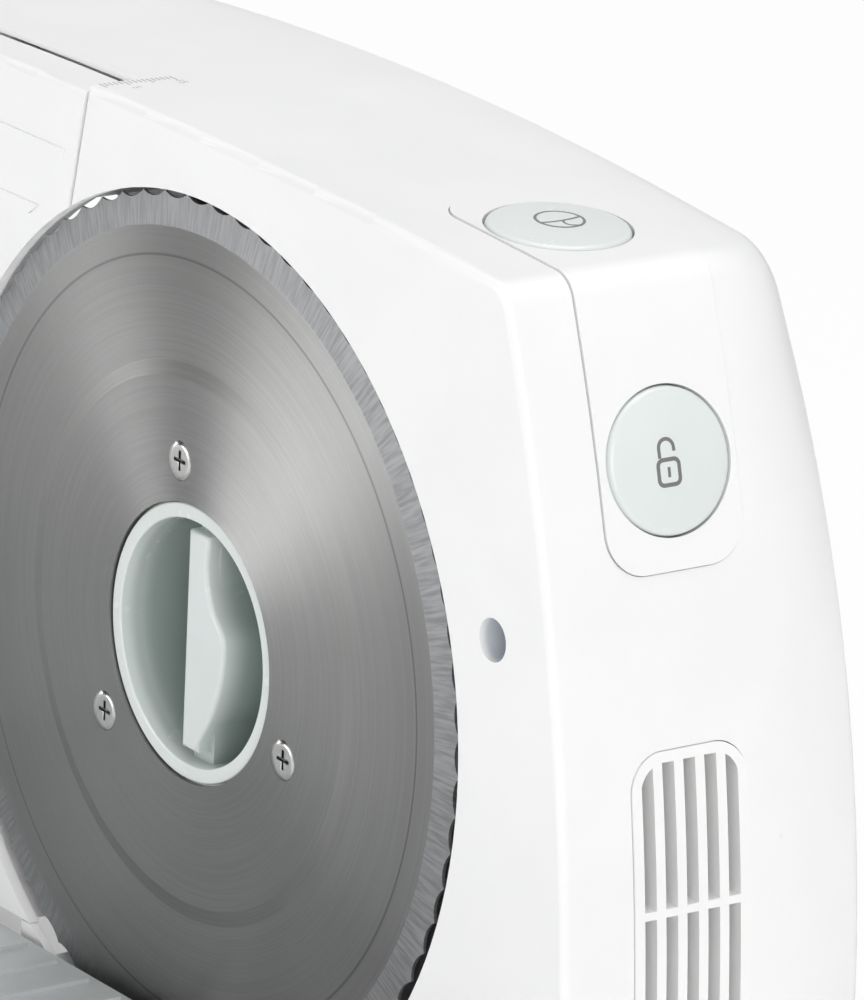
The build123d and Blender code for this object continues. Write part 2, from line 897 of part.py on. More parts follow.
def switch_shelf(plane, depth):
    """A shelf on the back wall: the spring's seat above, cheeks for the switch below."""
    start = shelf_start - depth
    length = body_depth - wall - shelf_start
    cheek = (shelf_width - switch_width) / 2
    with BuildPart(plane) as shelf:
        with Locations((start, 0, -switch_shelf_depth)):
            Box(
                length,
                shelf_width,
                switch_shelf_thickness,
                align=(Align.MIN, Align.CENTER, Align.MAX),
            )
            Box(
                length,
                shelf_width,
                switch_top + switch_height / 2 - switch_shelf_depth,
                align=(Align.MIN, Align.CENTER, Align.MAX),
            )
        with Locations((start - overrun, 0, -switch_shelf_depth - switch_shelf_thickness)):
            Box(
                length + 2 * overrun,
                shelf_width - 2 * cheek,
                switch_top + switch_height,
                align=(Align.MIN, Align.CENTER, Align.MAX),
                mode=Mode.SUBTRACT,
            )
        Cylinder(
            stem_radius + fit_gap,
            switch_shelf_depth + switch_shelf_thickness,
            align=(Align.CENTER, Align.CENTER, Align.MAX),
            mode=Mode.SUBTRACT,
        )
    return shelf.part


def microswitch(plane):
    """A small snap switch with its plunger just under the button's stem."""
    with BuildPart(plane) as switch:
        with Locations((0, 0, -switch_top)):
            Box(
                switch_length,
                switch_width,
                switch_height,
                align=(Align.CENTER, Align.CENTER, Align.MAX),
            )
            Cylinder(
                switch_plunger_radius,
                switch_plunger_length,
                align=(Align.CENTER, Align.CENTER, Align.MIN),
            )
    return switch.part


for button_name, button_plane, button_depth in (
    ("slice", slice_plane, slice_button_depth),
    ("lock", lock_plane, lock_button_depth),
):
    for piece_name, piece in (
        ("button", push_button(button_plane)),
        ("spring", push_spring(button_plane)),
        ("shelf", switch_shelf(button_plane, button_depth)),
        ("switch", microswitch(button_plane)),
    ):
        piece.label = f"{button_name}_{piece_name}"
        export_step(piece, f"parts/{button_name}_{piece_name}.step")

# Blade: turned sheet with a raised middle and a ground edge, cut to 72 hollow waves
blade_screw_places = [
    (
        blade_x + blade_screw_circle * cos(radians(angle)),
        blade_z + blade_screw_circle * sin(radians(angle)),
    )
    for angle in blade_screw_angles
]
blade_body_depth = blade_face_depth + blade_step_drop
grind_slope = grind_drop / (blade_radius - grind_radius)
blade_rim = blade_radius + tooth_height / 4
with BuildPart() as blade:
    with BuildSketch(section_at(blade_x, blade_z)):
        with BuildLine():
            Polyline(
                (blade_bore, blade_face_depth),
                (blade_step_inner, blade_face_depth),
                (blade_step_outer, blade_body_depth),
                (grind_radius, blade_body_depth),
                (blade_rim, blade_body_depth + grind_slope * (blade_rim - grind_radius)),
                (blade_rim, blade_body_depth + blade_thickness),
                (blade_step_outer, blade_body_depth + blade_thickness),
                (blade_step_inner, blade_face_depth + blade_thickness),
                (blade_bore, blade_face_depth + blade_thickness),
                close=True,
            )
        make_face()
    revolve(axis=axle_line(blade_x, blade_z))
    with BuildSketch(at_point(blade_x, blade_z, blade_face_depth - overrun)):
        with BuildLine():
            wave = 2 * pi / tooth_count
            valley = blade_radius - tooth_height
            for tooth in range(tooth_count):
                ThreePointArc(
                    (blade_radius * cos(wave * tooth), blade_radius * sin(wave * tooth)),
                    (valley * cos(wave * (tooth + 0.5)), valley * sin(wave * (tooth + 0.5))),
                    (blade_radius * cos(wave * (tooth + 1)), blade_radius * sin(wave * (tooth + 1))),
                )
        make_face()
    extrude(amount=-3 * overrun, mode=Mode.INTERSECT)
    for screw_x, screw_z in blade_screw_places:
        screw_plane = at_point(screw_x, screw_z, blade_face_depth)
        add(
            screw_form(screw_plane, blade_screw_radius, blade_screw_head, blade_screw_length),
            mode=Mode.SUBTRACT,
        )
blade.part.label = "blade"
export_step(blade.part, "parts/blade.step")

with BuildPart() as blade_screws:
    for screw_x, screw_z in blade_screw_places:
        add(
            countersunk_screw(
                at_point(screw_x, screw_z, blade_face_depth),
                blade_screw_radius,
                blade_screw_head,
                blade_screw_length,
            )
        )
blade_screws.part.label = "blade_screws"
export_step(blade_screws.part, "parts/blade_screws.step")

# Blade gear: tooth ring, plate and the tube that the lock cup turns in
gear_root_radius = gear_pitch_radius - gear_root_share * blade_gear_module
plate_start = blade_face_depth + blade_thickness
plate_end = plate_start + blade_gear_plate
tube_inner = lock_radius + running_gap
hub_outer = bush_radius + carrier_tube_wall
ring_end = blade_gear_start + blade_gear_width
lug_groove_radius = lock_radius + lug_height + fit_gap
with BuildPart() as blade_gear:
    with BuildSketch(section_at(blade_x, blade_z)):
        with BuildLine():
            Polyline(
                (tube_inner, plate_start),
                (gear_root_radius - blade_gear_rim / 2, plate_start),
                (gear_root_radius - blade_gear_rim / 2, plate_end),
                (carrier_tube_radius, plate_end),
                (carrier_tube_radius, carrier_floor_end),
                (hub_outer, carrier_floor_end),
                (hub_outer, carrier_hub_end),
                (bush_radius, carrier_hub_end),
                (bush_radius, carrier_floor_end),
                (lock_neck_radius + running_gap, carrier_floor_end),
                (lock_neck_radius + running_gap, carrier_floor_start),
                (tube_inner, carrier_floor_start),
                (tube_inner, lug_start + lug_depth + fit_gap),
                (lug_groove_radius, lug_start + lug_depth + fit_gap),
                (lug_groove_radius, lug_start - fit_gap),
                (tube_inner, lug_start - fit_gap),
                close=True,
            )
        make_face()
    revolve(axis=axle_line(blade_x, blade_z))
    with BuildSketch(at_point(blade_x, blade_z, plate_end)):
        add(gear_outline(blade_gear_teeth, blade_gear_module, blade_backlash, idler_angle))
        Circle(gear_root_radius - blade_gear_rim, mode=Mode.SUBTRACT)
    extrude(amount=plate_end - ring_end)
    with BuildSketch(from_front(plate_end)):
        with Locations(*blade_screw_places):
            Circle(screw_boss_radius)
    extrude(amount=-screw_boss_length)
    with BuildSketch(from_front(plate_start - blade_face_depth)):
        with Locations(*blade_screw_places):
            Circle(blade_screw_radius)
    extrude(amount=-blade_screw_length, mode=Mode.SUBTRACT)
blade_gear.part.label = "blade_gear"
export_step(blade_gear.part, "parts/blade_gear.step")

# Axle bush: a plain bearing pressed into the blade gear's hub
with BuildPart() as axle_bush:
    with BuildSketch(at_point(blade_x, blade_z, carrier_floor_end)):
        Circle(bush_radius)
        Circle(axle_radius + running_gap, mode=Mode.SUBTRACT)
    extrude(amount=-carrier_hub_length)
axle_bush.part.label = "axle_bush"
export_step(axle_bush.part, "parts/axle_bush.step")

# Blade lock: the deep cup with a grip across it, a cap over the axle and two lugs
cap_start = cup_floor_depth - lock_boss_height
cap_inner = cap_start + lock_floor
with BuildPart() as blade_lock:
    with BuildSketch(section_at(blade_x, blade_z)):
        with BuildLine():
            Polyline(
                (0, cap_start),
                (lock_boss_radius, cap_start),
                (lock_boss_radius, cup_floor_depth),
                (lock_radius - lock_rim_width, cup_floor_depth),
                (lock_radius - lock_rim_width, lock_rim_depth),
                (lock_radius, lock_rim_depth),
                (lock_radius, lock_back),
                (lock_neck_radius, lock_back),
                (lock_neck_radius, carrier_floor_end - fit_gap),
                (axle_radius + running_gap, carrier_floor_end - fit_gap),
                (axle_radius + running_gap, cap_inner),
                (0, cap_inner),
                close=True,
            )
        make_face()
    revolve(axis=axle_line(blade_x, blade_z))
    cup_rim = blade_lock.faces().sort_by(Axis.Y)[0].edges()
    fillet(cup_rim, lock_rim_edge)
    # The grip stands across the cup, with a belly on its right side for the thumb
    with BuildSketch(at_point(blade_x, blade_z, lock_rim_depth + grip_set_back)) as grip_form:
        with BuildLine():
            belly = Spline(*grip_edge)
            Polyline(
                belly @ 1,
                (grip_edge[-1][0], -grip_end),
                (grip_left, -grip_end),
                (grip_left, grip_end),
                (grip_edge[0][0], grip_end),
                belly @ 0,
            )
        make_face()
        grip_ends = grip_form.vertices().filter_by(
            lambda corner: abs(abs(corner.Z - blade_z) - grip_end) < grip_corner
        )
        fillet(grip_ends, grip_corner)
    extrude(amount=grip_set_back - lock_cup_depth - lock_floor / 2)
    grip_front_y = front_y + lock_rim_depth + grip_set_back
    grip_front = blade_lock.faces().sort_by(lambda face: abs(face.center().Y - grip_front_y))[0]
    fillet(grip_front.edges(), grip_edge_radius)
    with BuildSketch(at_point(blade_x, blade_z, lock_rim_depth + grip_end_depth)):
        Rectangle(-2 * grip_left, 2 * lock_radius - lock_rim_width)
    extrude(amount=grip_end_depth - lock_cup_depth - lock_floor / 2)
    with BuildSketch(at_point(blade_x, blade_z, cap_inner)):
        Circle(axle_radius + running_gap)
    extrude(amount=cap_inner - lock_back, mode=Mode.SUBTRACT)
    # Two lugs on the cup's outside keep it in its tube
    with BuildSketch(at_point(blade_x, blade_z, lug_start)):
        Circle(lock_radius + lug_height)
        Circle(lock_radius - lock_rim_width / 2, mode=Mode.SUBTRACT)
        lug_half = (lock_radius + lug_height) * sin(radians(lug_arc / 2))
        Rectangle(2 * lock_radius + 2 * lug_height, 2 * lug_half, mode=Mode.INTERSECT)
    extrude(amount=-lug_depth)
blade_lock.part.label = "blade_lock"
export_step(blade_lock.part, "parts/blade_lock.step")

# Blade axle: a steel pin pressed into the gear frame
with BuildPart() as blade_axle:
    with BuildSketch(at_point(blade_x, blade_z, axle_start)):
        Circle(axle_radius)
    extrude(amount=axle_start - axle_end)
blade_axle.part.label = "blade_axle"
export_step(blade_axle.part, "parts/blade_axle.step")

# Gear frame: the plate that carries the axle's seat and the motor, with its rim wall
pinion_tip = small_pitch_radius + gear_addendum_share * blade_gear_module
with BuildPart() as gear_frame:
    with BuildSketch(at_point(blade_x, blade_z, frame_depth)) as frame_form:
        Circle(frame_radius)
        with Locations((frame_reach / 2, (frame_high + frame_low) / 2)):
            Rectangle(frame_reach, frame_high - frame_low)
        Circle(pot_radius, mode=Mode.SUBTRACT)
    extrude(amount=-frame_thickness)
    with BuildSketch(at_point(blade_x, blade_z, frame_wall_start)):
        Circle(frame_radius)
        Circle(frame_radius - frame_wall, mode=Mode.SUBTRACT)
    extrude(amount=frame_wall_start - frame_depth)
    with BuildSketch(at_point(blade_x, blade_z, frame_back)):
        Circle(frame_radius)
        Circle(frame_radius - frame_wall, mode=Mode.SUBTRACT)
        with Locations((frame_wall_back_x, 0)):
            Rectangle(
                frame_radius,
                2 * frame_radius,
                align=(Align.MAX, Align.CENTER),
                mode=Mode.INTERSECT,
            )
    extrude(amount=frame_back - bulkhead_depth + fit_gap)
    with BuildSketch(at_point(blade_x, blade_z, frame_back)):
        Circle(pot_radius + pot_wall)
        Circle(pot_radius, mode=Mode.SUBTRACT)
    extrude(amount=frame_back - pot_end - pot_floor)
    with BuildSketch(at_point(blade_x, blade_z, pot_end)):
        Circle(pot_radius + pot_wall)
    extrude(amount=-pot_floor)
    with BuildSketch(at_point(blade_x, blade_z, pot_end)):
        Circle(axle_seat_radius)
    extrude(amount=-axle_seat_length)
    with BuildSketch(at_point(blade_x, blade_z, pot_end)):
        Circle(axle_radius)
    extrude(amount=-axle_seat_length, mode=Mode.SUBTRACT)
    with BuildSketch(from_front(frame_back)):
        with Locations(*standoffs):
            Circle(standoff_radius)
    extrude(amount=frame_back - motor_plate_depth)
    with BuildSketch(at_point(idler_x, idler_z, frame_wall_start - fit_gap)):
        Circle(pinion_tip + pinion_hole_gap)
    extrude(amount=frame_wall_start - frame_back - 2 * fit_gap, mode=Mode.SUBTRACT)
    for post_x, post_z in frame_posts:
        add(
            screw_form(
                at_point(post_x, post_z, frame_depth),
                frame_screw_radius,
                frame_screw_head,
                frame_screw_length,
            ),
            mode=Mode.SUBTRACT,
        )
    for standoff_x, standoff_z in standoffs:
        add(
            screw_form(
                from_back(standoff_x, standoff_z, motor_start),
                plate_screw_radius,
                plate_screw_head,
                plate_screw_length,
            ),
            mode=Mode.SUBTRACT,
        )
gear_frame.part.label = "gear_frame"
export_step(gear_frame.part, "parts/gear_frame.step")

with BuildPart() as gear_frame_screws:
    for post_x, post_z in frame_posts:
        add(
            countersunk_screw(
                at_point(post_x, post_z, frame_depth),
                frame_screw_radius,
                frame_screw_head,
                frame_screw_length,
            )
        )
gear_frame_screws.part.label = "gear_frame_screws"
export_step(gear_frame_screws.part, "parts/gear_frame_screws.step")

# Motor plate: sheet steel on three standoffs, which holds the idler's pin and the motor
motor_screw_places = [
    (
        motor_x + side * motor_screw_spacing * cos(radians(motor_angle)),
        motor_z + side * motor_screw_spacing * sin(radians(motor_angle)),
    )
    for side in (-1, 1)
]
with BuildPart() as motor_plate:
    with BuildSketch(from_front(motor_plate_depth)):
        with Locations(*standoffs):
            Circle(standoff_pad_radius)
        with Locations((idler_x, idler_z)):
            Circle(idler_boss_radius)
        with Locations((motor_x, motor_z)):
            Circle(motor_radius)
        make_hull()
        with Locations((blade_x, blade_z)):
            Circle(pot_radius + pot_wall + pinion_hole_gap, mode=Mode.SUBTRACT)
        with Locations((idler_x, idler_z)):
            Circle(idler_pin_radius, mode=Mode.SUBTRACT)
        with Locations((motor_x, motor_z)):
            Circle(motor_pitch_radius + idler_module, mode=Mode.SUBTRACT)
    extrude(amount=-motor_plate_thickness)
    for standoff_x, standoff_z in standoffs:
        add(
            screw_form(
                from_back(standoff_x, standoff_z, motor_start),
                plate_screw_radius,
                plate_screw_head,
                plate_screw_length,
            ),
            mode=Mode.SUBTRACT,
        )
    for screw_x, screw_z in motor_screw_places:
        add(
            screw_form(
                at_point(screw_x, screw_z, motor_plate_depth),
                motor_screw_radius,
                motor_screw_head,
                motor_screw_length,
            ),
            mode=Mode.SUBTRACT,
        )
motor_plate.part.label = "motor_plate"
export_step(motor_plate.part, "parts/motor_plate.step")

with BuildPart() as motor_plate_screws:
    for standoff_x, standoff_z in standoffs:
        add(
            countersunk_screw(
                from_back(standoff_x, standoff_z, motor_start),
                plate_screw_radius,
                plate_screw_head,
                plate_screw_length,
            )
        )
motor_plate_screws.part.label = "motor_plate_screws"
export_step(motor_plate_screws.part, "parts/motor_plate_screws.step")

# Idler: a small gear that drives the blade and a large one that the motor turns
with BuildPart() as idler_gear:
    with BuildSketch(at_point(idler_x, idler_z, blade_gear_start)):
        add(
            gear_outline(
                idler_small_teeth,
                blade_gear_module,
                blade_backlash,
                idler_angle + 180 + 180 / idler_small_teeth,
            )
        )
        Circle(idler_pin_radius + running_gap, mode=Mode.SUBTRACT)
    extrude(amount=blade_gear_start - idler_large_start)
    with BuildSketch(at_point(idler_x, idler_z, idler_large_start)):
        add(gear_outline(idler_large_teeth, idler_module, motor_backlash, motor_angle))
        Circle(idler_pin_radius + running_gap, mode=Mode.SUBTRACT)
    extrude(amount=-idler_large_width)
    with BuildSketch(at_point(idler_x, idler_z, idler_large_start + idler_large_width)):
        Circle(idler_hub_radius)
        Circle(idler_pin_radius + running_gap, mode=Mode.SUBTRACT)
    extrude(amount=idler_large_start + idler_large_width - motor_plate_depth + fit_gap)
idler_gear.part.label = "idler_gear"
export_step(idler_gear.part, "parts/idler_gear.step")

with BuildPart() as idler_pin:
    with BuildSketch(at_point(idler_x, idler_z, blade_gear_start - fit_gap)):
        Circle(idler_pin_radius)
    extrude(amount=blade_gear_start - fit_gap - motor_start)
    with BuildSketch(at_point(idler_x, idler_z, blade_gear_start - fit_gap)):
        Circle(idler_pin_head)
    extrude(amount=idler_pin_head_length)
idler_pin.part.label = "idler_pin"
export_step(idler_pin.part, "parts/idler_pin.step")

# Motor: front disc, can with two magnets, slotted armature on its shaft, and two bushes
with BuildPart() as motor_front:
    with BuildSketch(at_point(motor_x, motor_z, motor_start)):
        Circle(motor_radius)
    extrude(amount=-motor_shell)
    with BuildSketch(at_point(motor_x, motor_z, motor_start)):
        Circle(motor_bush_radius + motor_shell)
    extrude(amount=-motor_bush_length)
    with BuildSketch(at_point(motor_x, motor_z, motor_start)):
        Circle(motor_bush_radius)
    extrude(amount=-motor_bush_length, mode=Mode.SUBTRACT)
    for screw_x, screw_z in motor_screw_places:
        add(
            screw_form(
                at_point(screw_x, screw_z, motor_plate_depth),
                motor_screw_radius,
                motor_screw_head,
                motor_screw_length,
            ),
            mode=Mode.SUBTRACT,
        )
motor_front.part.label = "motor_front"
export_step(motor_front.part, "parts/motor_front.step")

with BuildPart() as motor_screws:
    for screw_x, screw_z in motor_screw_places:
        add(
            countersunk_screw(
                at_point(screw_x, screw_z, motor_plate_depth),
                motor_screw_radius,
                motor_screw_head,
                motor_screw_length,
            )
        )
motor_screws.part.label = "motor_screws"
export_step(motor_screws.part, "parts/motor_screws.step")

with BuildPart() as motor_can:
    with BuildSketch(at_point(motor_x, motor_z, motor_start + motor_shell)):
        Circle(motor_radius)
    extrude(amount=motor_shell - motor_length)
    with BuildSketch(at_point(motor_x, motor_z, motor_start + motor_shell)):
        Circle(motor_radius - motor_shell)
    extrude(amount=2 * motor_shell - motor_length, mode=Mode.SUBTRACT)
    with BuildSketch(at_point(motor_x, motor_z, motor_end - motor_bush_length)):
        Circle(motor_bush_radius + motor_shell)
    extrude(amount=-motor_bush_length)
    with BuildSketch(at_point(motor_x, motor_z, motor_end - motor_bush_length)):
        Circle(motor_bush_radius)
    extrude(amount=-motor_bush_length, mode=Mode.SUBTRACT)
motor_can.part.label = "motor_can"
export_step(motor_can.part, "parts/motor_can.step")

magnet_outer = motor_radius - motor_shell
with BuildPart() as motor_magnets:
    with BuildSketch(section_at(motor_x, motor_z)):
        with Locations((magnet_outer - magnet_thickness, motor_start + magnet_end_gap)):
            Rectangle(
                magnet_thickness,
                motor_length - 2 * magnet_end_gap,
                align=(Align.MIN, Align.MIN),
            )
    revolve(axis=axle_line(motor_x, motor_z))
    with BuildSketch(at_point(motor_x, motor_z, motor_start)):
        Rectangle(
            2 * motor_radius,
            2 * magnet_outer * cos(radians(magnet_arc / 2)),
        )
    extrude(amount=-motor_length, mode=Mode.SUBTRACT)
motor_magnets.part.label = "motor_magnets"
export_step(motor_magnets.part, "parts/motor_magnets.step")

armature_start = motor_start + armature_end_gap
with BuildPart() as armature:
    with BuildSketch(at_point(motor_x, motor_z, armature_start)):
        Circle(armature_radius)
        with PolarLocations(armature_radius, armature_slots):
            Rectangle(2 * armature_slot_depth, armature_slot_width, mode=Mode.SUBTRACT)
        Circle(motor_shaft_radius, mode=Mode.SUBTRACT)
    extrude(amount=2 * armature_end_gap - motor_length)
armature.part.label = "armature"
export_step(armature.part, "parts/armature.step")

pinion_start = idler_large_start - pinion_overhang
pinion_end = idler_large_start + idler_large_width + pinion_overhang
with BuildPart() as motor_shaft:
    with BuildSketch(at_point(motor_x, motor_z, pinion_start - pinion_overhang)):
        Circle(motor_shaft_radius)
    extrude(amount=pinion_start - pinion_overhang - motor_end + pinion_overhang)
motor_shaft.part.label = "motor_shaft"
export_step(motor_shaft.part, "parts/motor_shaft.step")

with BuildPart() as motor_pinion:
    with BuildSketch(at_point(motor_x, motor_z, pinion_start)):
        add(
            gear_outline(
                motor_teeth,
                idler_module,
                motor_backlash,
                motor_angle + 180 + 180 / motor_teeth,
            )
        )
        Circle(motor_shaft_radius, mode=Mode.SUBTRACT)
    extrude(amount=pinion_start - pinion_end)
motor_pinion.part.label = "motor_pinion"
export_step(motor_pinion.part, "parts/motor_pinion.step")

with BuildPart() as motor_bushes:
    with BuildSketch(
        at_point(motor_x, motor_z, motor_start),
        at_point(motor_x, motor_z, motor_end - motor_bush_length),
    ):
        Circle(motor_bush_radius)
        Circle(motor_shaft_radius + running_gap, mode=Mode.SUBTRACT)
    extrude(amount=-motor_bush_length)
motor_bushes.part.label = "motor_bushes"
export_step(motor_bushes.part, "parts/motor_bushes.step")

# Fence: the plate that sets the slice's thickness, with flanges, ribs and guide sleeves
with BuildPart() as fence_plate:
    with BuildSketch(from_front(0)):
        add(body_outline(-fence_margin))
    extrude(amount=-fence_flange)
    fence_front_edges = fence_plate.faces().sort_by(Axis.Y)[0].edges()
    fillet(fence_front_edges.sort_by(Axis.Z)[1:], fence_edge_radius)
    with BuildSketch(from_front(fence_thickness)):
        add(body_outline(-fence_margin - fence_flange_wall))
    extrude(amount=-fence_flange, mode=Mode.SUBTRACT)
    with BuildSketch(from_front(-overrun)):
        add(left_of_split(-fit_gap))
        with Locations((0, blade_z + fence_bottom)):
            Rectangle(
                2 * body_half_width,
                body_top,
                align=(Align.CENTER, Align.MIN),
                mode=Mode.INTERSECT,
            )
        with Locations((opening_x, opening_z)):
            Circle(opening_radius, mode=Mode.SUBTRACT)
    extrude(amount=-2 * overrun - fence_flange, mode=Mode.INTERSECT)
    with BuildSketch(from_front(fence_thickness / 2)):
        add(body_outline(-fence_margin))
        with Locations((0, blade_z + fence_bottom)):
            Rectangle(
                2 * body_half_width,
                2 * fence_flange_wall,
                align=(Align.CENTER, Align.CENTER),
                mode=Mode.INTERSECT,
            )
        with Locations((0, blade_z + fence_bottom)):
            Rectangle(
                2 * body_half_width,
                body_top,
                align=(Align.CENTER, Align.MIN),
                mode=Mode.INTERSECT,
            )
        add(left_of_split(-fit_gap), mode=Mode.INTERSECT)
        with Locations((opening_x, opening_z)):
            Circle(opening_radius + well_gap, mode=Mode.SUBTRACT)
    extrude(amount=fence_thickness / 2 - fence_flange)
    with BuildSketch(from_front(fence_thickness / 2)):
        with Locations((opening_x, opening_z)):
            Circle(opening_radius + well_gap + well_wall)
        add(body_outline(-fence_margin), mode=Mode.INTERSECT)
        add(left_of_split(-fit_gap), mode=Mode.INTERSECT)
        with Locations((0, blade_z + fence_bottom)):
            Rectangle(
                2 * body_half_width,
                body_top,
                align=(Align.CENTER, Align.MIN),
                mode=Mode.INTERSECT,
            )
        with Locations((opening_x, opening_z)):
            Circle(opening_radius + well_gap, mode=Mode.SUBTRACT)
    extrude(amount=-fence_thickness / 2 - fence_ring_depth)
    # Sleeves on the guide rods and the boss of the nut
    with BuildSketch(from_front(fence_thickness / 2)):
        with Locations(*guide_places):
            Circle(sleeve_radius)
        with Locations((column_x, spindle_z)):
            Circle(nut_boss_radius)
    extrude(amount=fence_thickness / 2 - sleeve_end)
    with BuildSketch(from_front(fence_thickness)):
        with Locations(*guide_places):
            Circle(guide_rod_radius + running_gap)
        with Locations((column_x, spindle_z)):
            Circle(spindle_radius + fit_gap)
    extrude(amount=-sleeve_end, mode=Mode.SUBTRACT)
    with BuildSketch(at_point(column_x, spindle_z, sleeve_end)):
        Circle(nut_radius)
    extrude(amount=nut_length, mode=Mode.SUBTRACT)
    # Raised ribs across the front, which end short of every edge
    with BuildSketch(from_front(0)):
        with Locations(
            *[
                (0, blade_z + fence_rib_first - fence_rib_pitch * step)
                for step in range(fence_rib_count)
            ]
        ):
            Rectangle(2 * body_half_width, fence_rib_width)
        add(body_outline(-fence_margin - fence_rib_margin), mode=Mode.INTERSECT)
        add(left_of_split(-fit_gap - fence_rib_margin), mode=Mode.INTERSECT)
        with Locations((opening_x, opening_z)):
            Circle(opening_radius + fence_rib_margin, mode=Mode.SUBTRACT)
    extrude(amount=fence_rib_height)
fence_plate.part.label = "fence_plate"
export_step(fence_plate.part, "parts/fence_plate.step")

with BuildPart() as fence_nut:
    with BuildSketch(at_point(column_x, spindle_z, sleeve_end)):
        Circle(nut_radius)
        Circle(spindle_radius + running_gap, mode=Mode.SUBTRACT)
    extrude(amount=nut_length)
fence_nut.part.label = "fence_nut"
export_step(fence_nut.part, "parts/fence_nut.step")

with BuildPart() as guide_rods:
    with BuildSketch(from_front(guide_rod_start)):
        with Locations(*guide_places):
            Circle(guide_rod_radius)
    extrude(amount=guide_rod_start - body_depth + wall)
guide_rods.part.label = "guide_rods"
export_step(guide_rods.part, "parts/guide_rods.step")

# Spindle, its bush in the back wall, and the dial that turns it
dial_start = body_depth + dial_gap
with BuildPart() as dial_spindle:
    with BuildSketch(at_point(column_x, spindle_z, guide_rod_start)):
        Circle(spindle_radius)
    extrude(amount=guide_rod_start - dial_start - dial_bore_depth)
    collar_end = spindle_bush_start - fit_gap
    with BuildSketch(at_point(column_x, spindle_z, collar_end)):
        Circle(spindle_collar_radius)
    extrude(amount=spindle_collar_length)
dial_spindle.part.label = "dial_spindle"
export_step(dial_spindle.part, "parts/dial_spindle.step")

with BuildPart() as spindle_bush:
    with BuildSketch(at_point(column_x, spindle_z, spindle_bush_start)):
        Circle(spindle_bush_radius)
        Circle(spindle_radius + running_gap, mode=Mode.SUBTRACT)
    extrude(amount=-spindle_bush_length)
spindle_bush.part.label = "spindle_bush"
export_step(spindle_bush.part, "parts/spindle_bush.step")

with BuildPart() as thickness_dial:
    with BuildSketch(at_point(column_x, spindle_z, dial_start)):
        Circle(dial_radius)
    extrude(amount=dial_gap - dial_reach)
    dial_rim = thickness_dial.faces().sort_by(Axis.Y)[-1].edges()
    fillet(dial_rim, dial_edge)
    with BuildSketch(at_point(column_x, spindle_z, dial_start)):
        with PolarLocations(dial_radius, dial_groove_count):
            Circle(dial_groove_radius)
    extrude(amount=-dial_reach, mode=Mode.SUBTRACT)
    with BuildSketch(at_point(column_x, spindle_z, dial_start)):
        Circle(spindle_radius)
    extrude(amount=-dial_bore_depth, mode=Mode.SUBTRACT)
thickness_dial.part.label = "thickness_dial"
export_step(thickness_dial.part, "parts/thickness_dial.step")

# Base: a hollow tray with bosses for the feet and screws, and two posts for the rail
base_half = body_half_width + base_margin
base_front = front_y - carriage_reach
base_rear = back_y + base_margin
base_bottom = foot_height - foot_recess
foot_places = [
    (side * (base_half - foot_inset_x), y)
    for side in (-1, 1)
    for y in (base_front + foot_inset_y, base_rear - foot_inset_y)
]
rail_y = front_y - rail_from_front
post_x = base_half - base_margin - rail_post_width / 2
with BuildPart() as base:
    with BuildSketch(Plane.XY.offset(base_bottom)) as base_form:
        with Locations((0, (base_front + base_rear) / 2)):
            Rectangle(2 * base_half, base_rear - base_front)
        corners = base_form.vertices().sort_by(Axis.Y)
        fillet(corners[:2], base_corner)
        back_corners = base_form.vertices().filter_by(
            lambda corner: corner.Y > base_rear - base_edge
        )
        fillet(back_corners, base_back_corner)
    extrude(amount=base_top - base_bottom)
    fillet(base.faces().sort_by(Axis.Z)[-1].edges(), base_edge)
    with BuildSketch(Plane.XY.offset(base_bottom)):
        add(base_form.sketch_local)
        offset(amount=-base_wall, mode=Mode.REPLACE)
    extrude(amount=base_top - base_bottom - base_wall, mode=Mode.SUBTRACT)
    with BuildSketch(Plane.XY.offset(base_bottom)):
        with Locations(*foot_places):
            Circle(foot_radius + foot_boss_wall)
        with Locations(*base_boss_places):
            Circle(base_screw_head + foot_boss_wall)
        add(base_form.sketch_local, mode=Mode.INTERSECT)
    extrude(amount=base_top - base_bottom - base_wall / 2)
    with BuildSketch(Plane.XY.offset(base_bottom)):
        with Locations(*foot_places):
            Circle(foot_radius)
    extrude(amount=foot_recess, mode=Mode.SUBTRACT)
    with BuildSketch(Plane.XY.offset(base_bottom)):
        with Locations(*base_boss_places):
            Circle(base_screw_head + fit_gap)
    extrude(amount=base_screw_seat - base_bottom, mode=Mode.SUBTRACT)
    for screw_x, screw_y in base_boss_places:
        add(
            screw_form(
                from_below(screw_x, screw_y, base_screw_seat),
                base_screw_radius,
                base_screw_head,
                base_screw_length,
            ),
            mode=Mode.SUBTRACT,
        )
    with BuildSketch(Plane.XY.offset(base_top - base_wall / 2)):
        with Locations((-post_x, rail_y), (post_x, rail_y)):
            RectangleRounded(rail_post_width, rail_post_depth, rail_post_rise)
    extrude(amount=rail_z + rail_radius + rail_post_rise - base_top + base_wall / 2)
    with BuildSketch(Plane.YZ.offset(-post_x)):
        with Locations((rail_y, rail_z)):
            Circle(rail_radius)
    extrude(amount=2 * post_x, mode=Mode.SUBTRACT)
base.part.label = "base"
export_step(base.part, "parts/base.step")

with BuildPart() as base_screws:
    for screw_x, screw_y in base_boss_places:
        add(
            countersunk_screw(
                from_below(screw_x, screw_y, base_screw_seat),
                base_screw_radius,
                base_screw_head,
                base_screw_length,
            )
        )
base_screws.part.label = "base_screws"
export_step(base_screws.part, "parts/base_screws.step")

with BuildPart() as rubber_feet:
    with BuildSketch(Plane.XY):
        with Locations(*foot_places):
            Circle(foot_radius)
    extrude(amount=foot_height)
    fillet(rubber_feet.faces().group_by(Axis.Z)[0].edges(), foot_recess)
rubber_feet.part.label = "rubber_feet"
export_step(rubber_feet.part, "parts/rubber_feet.step")

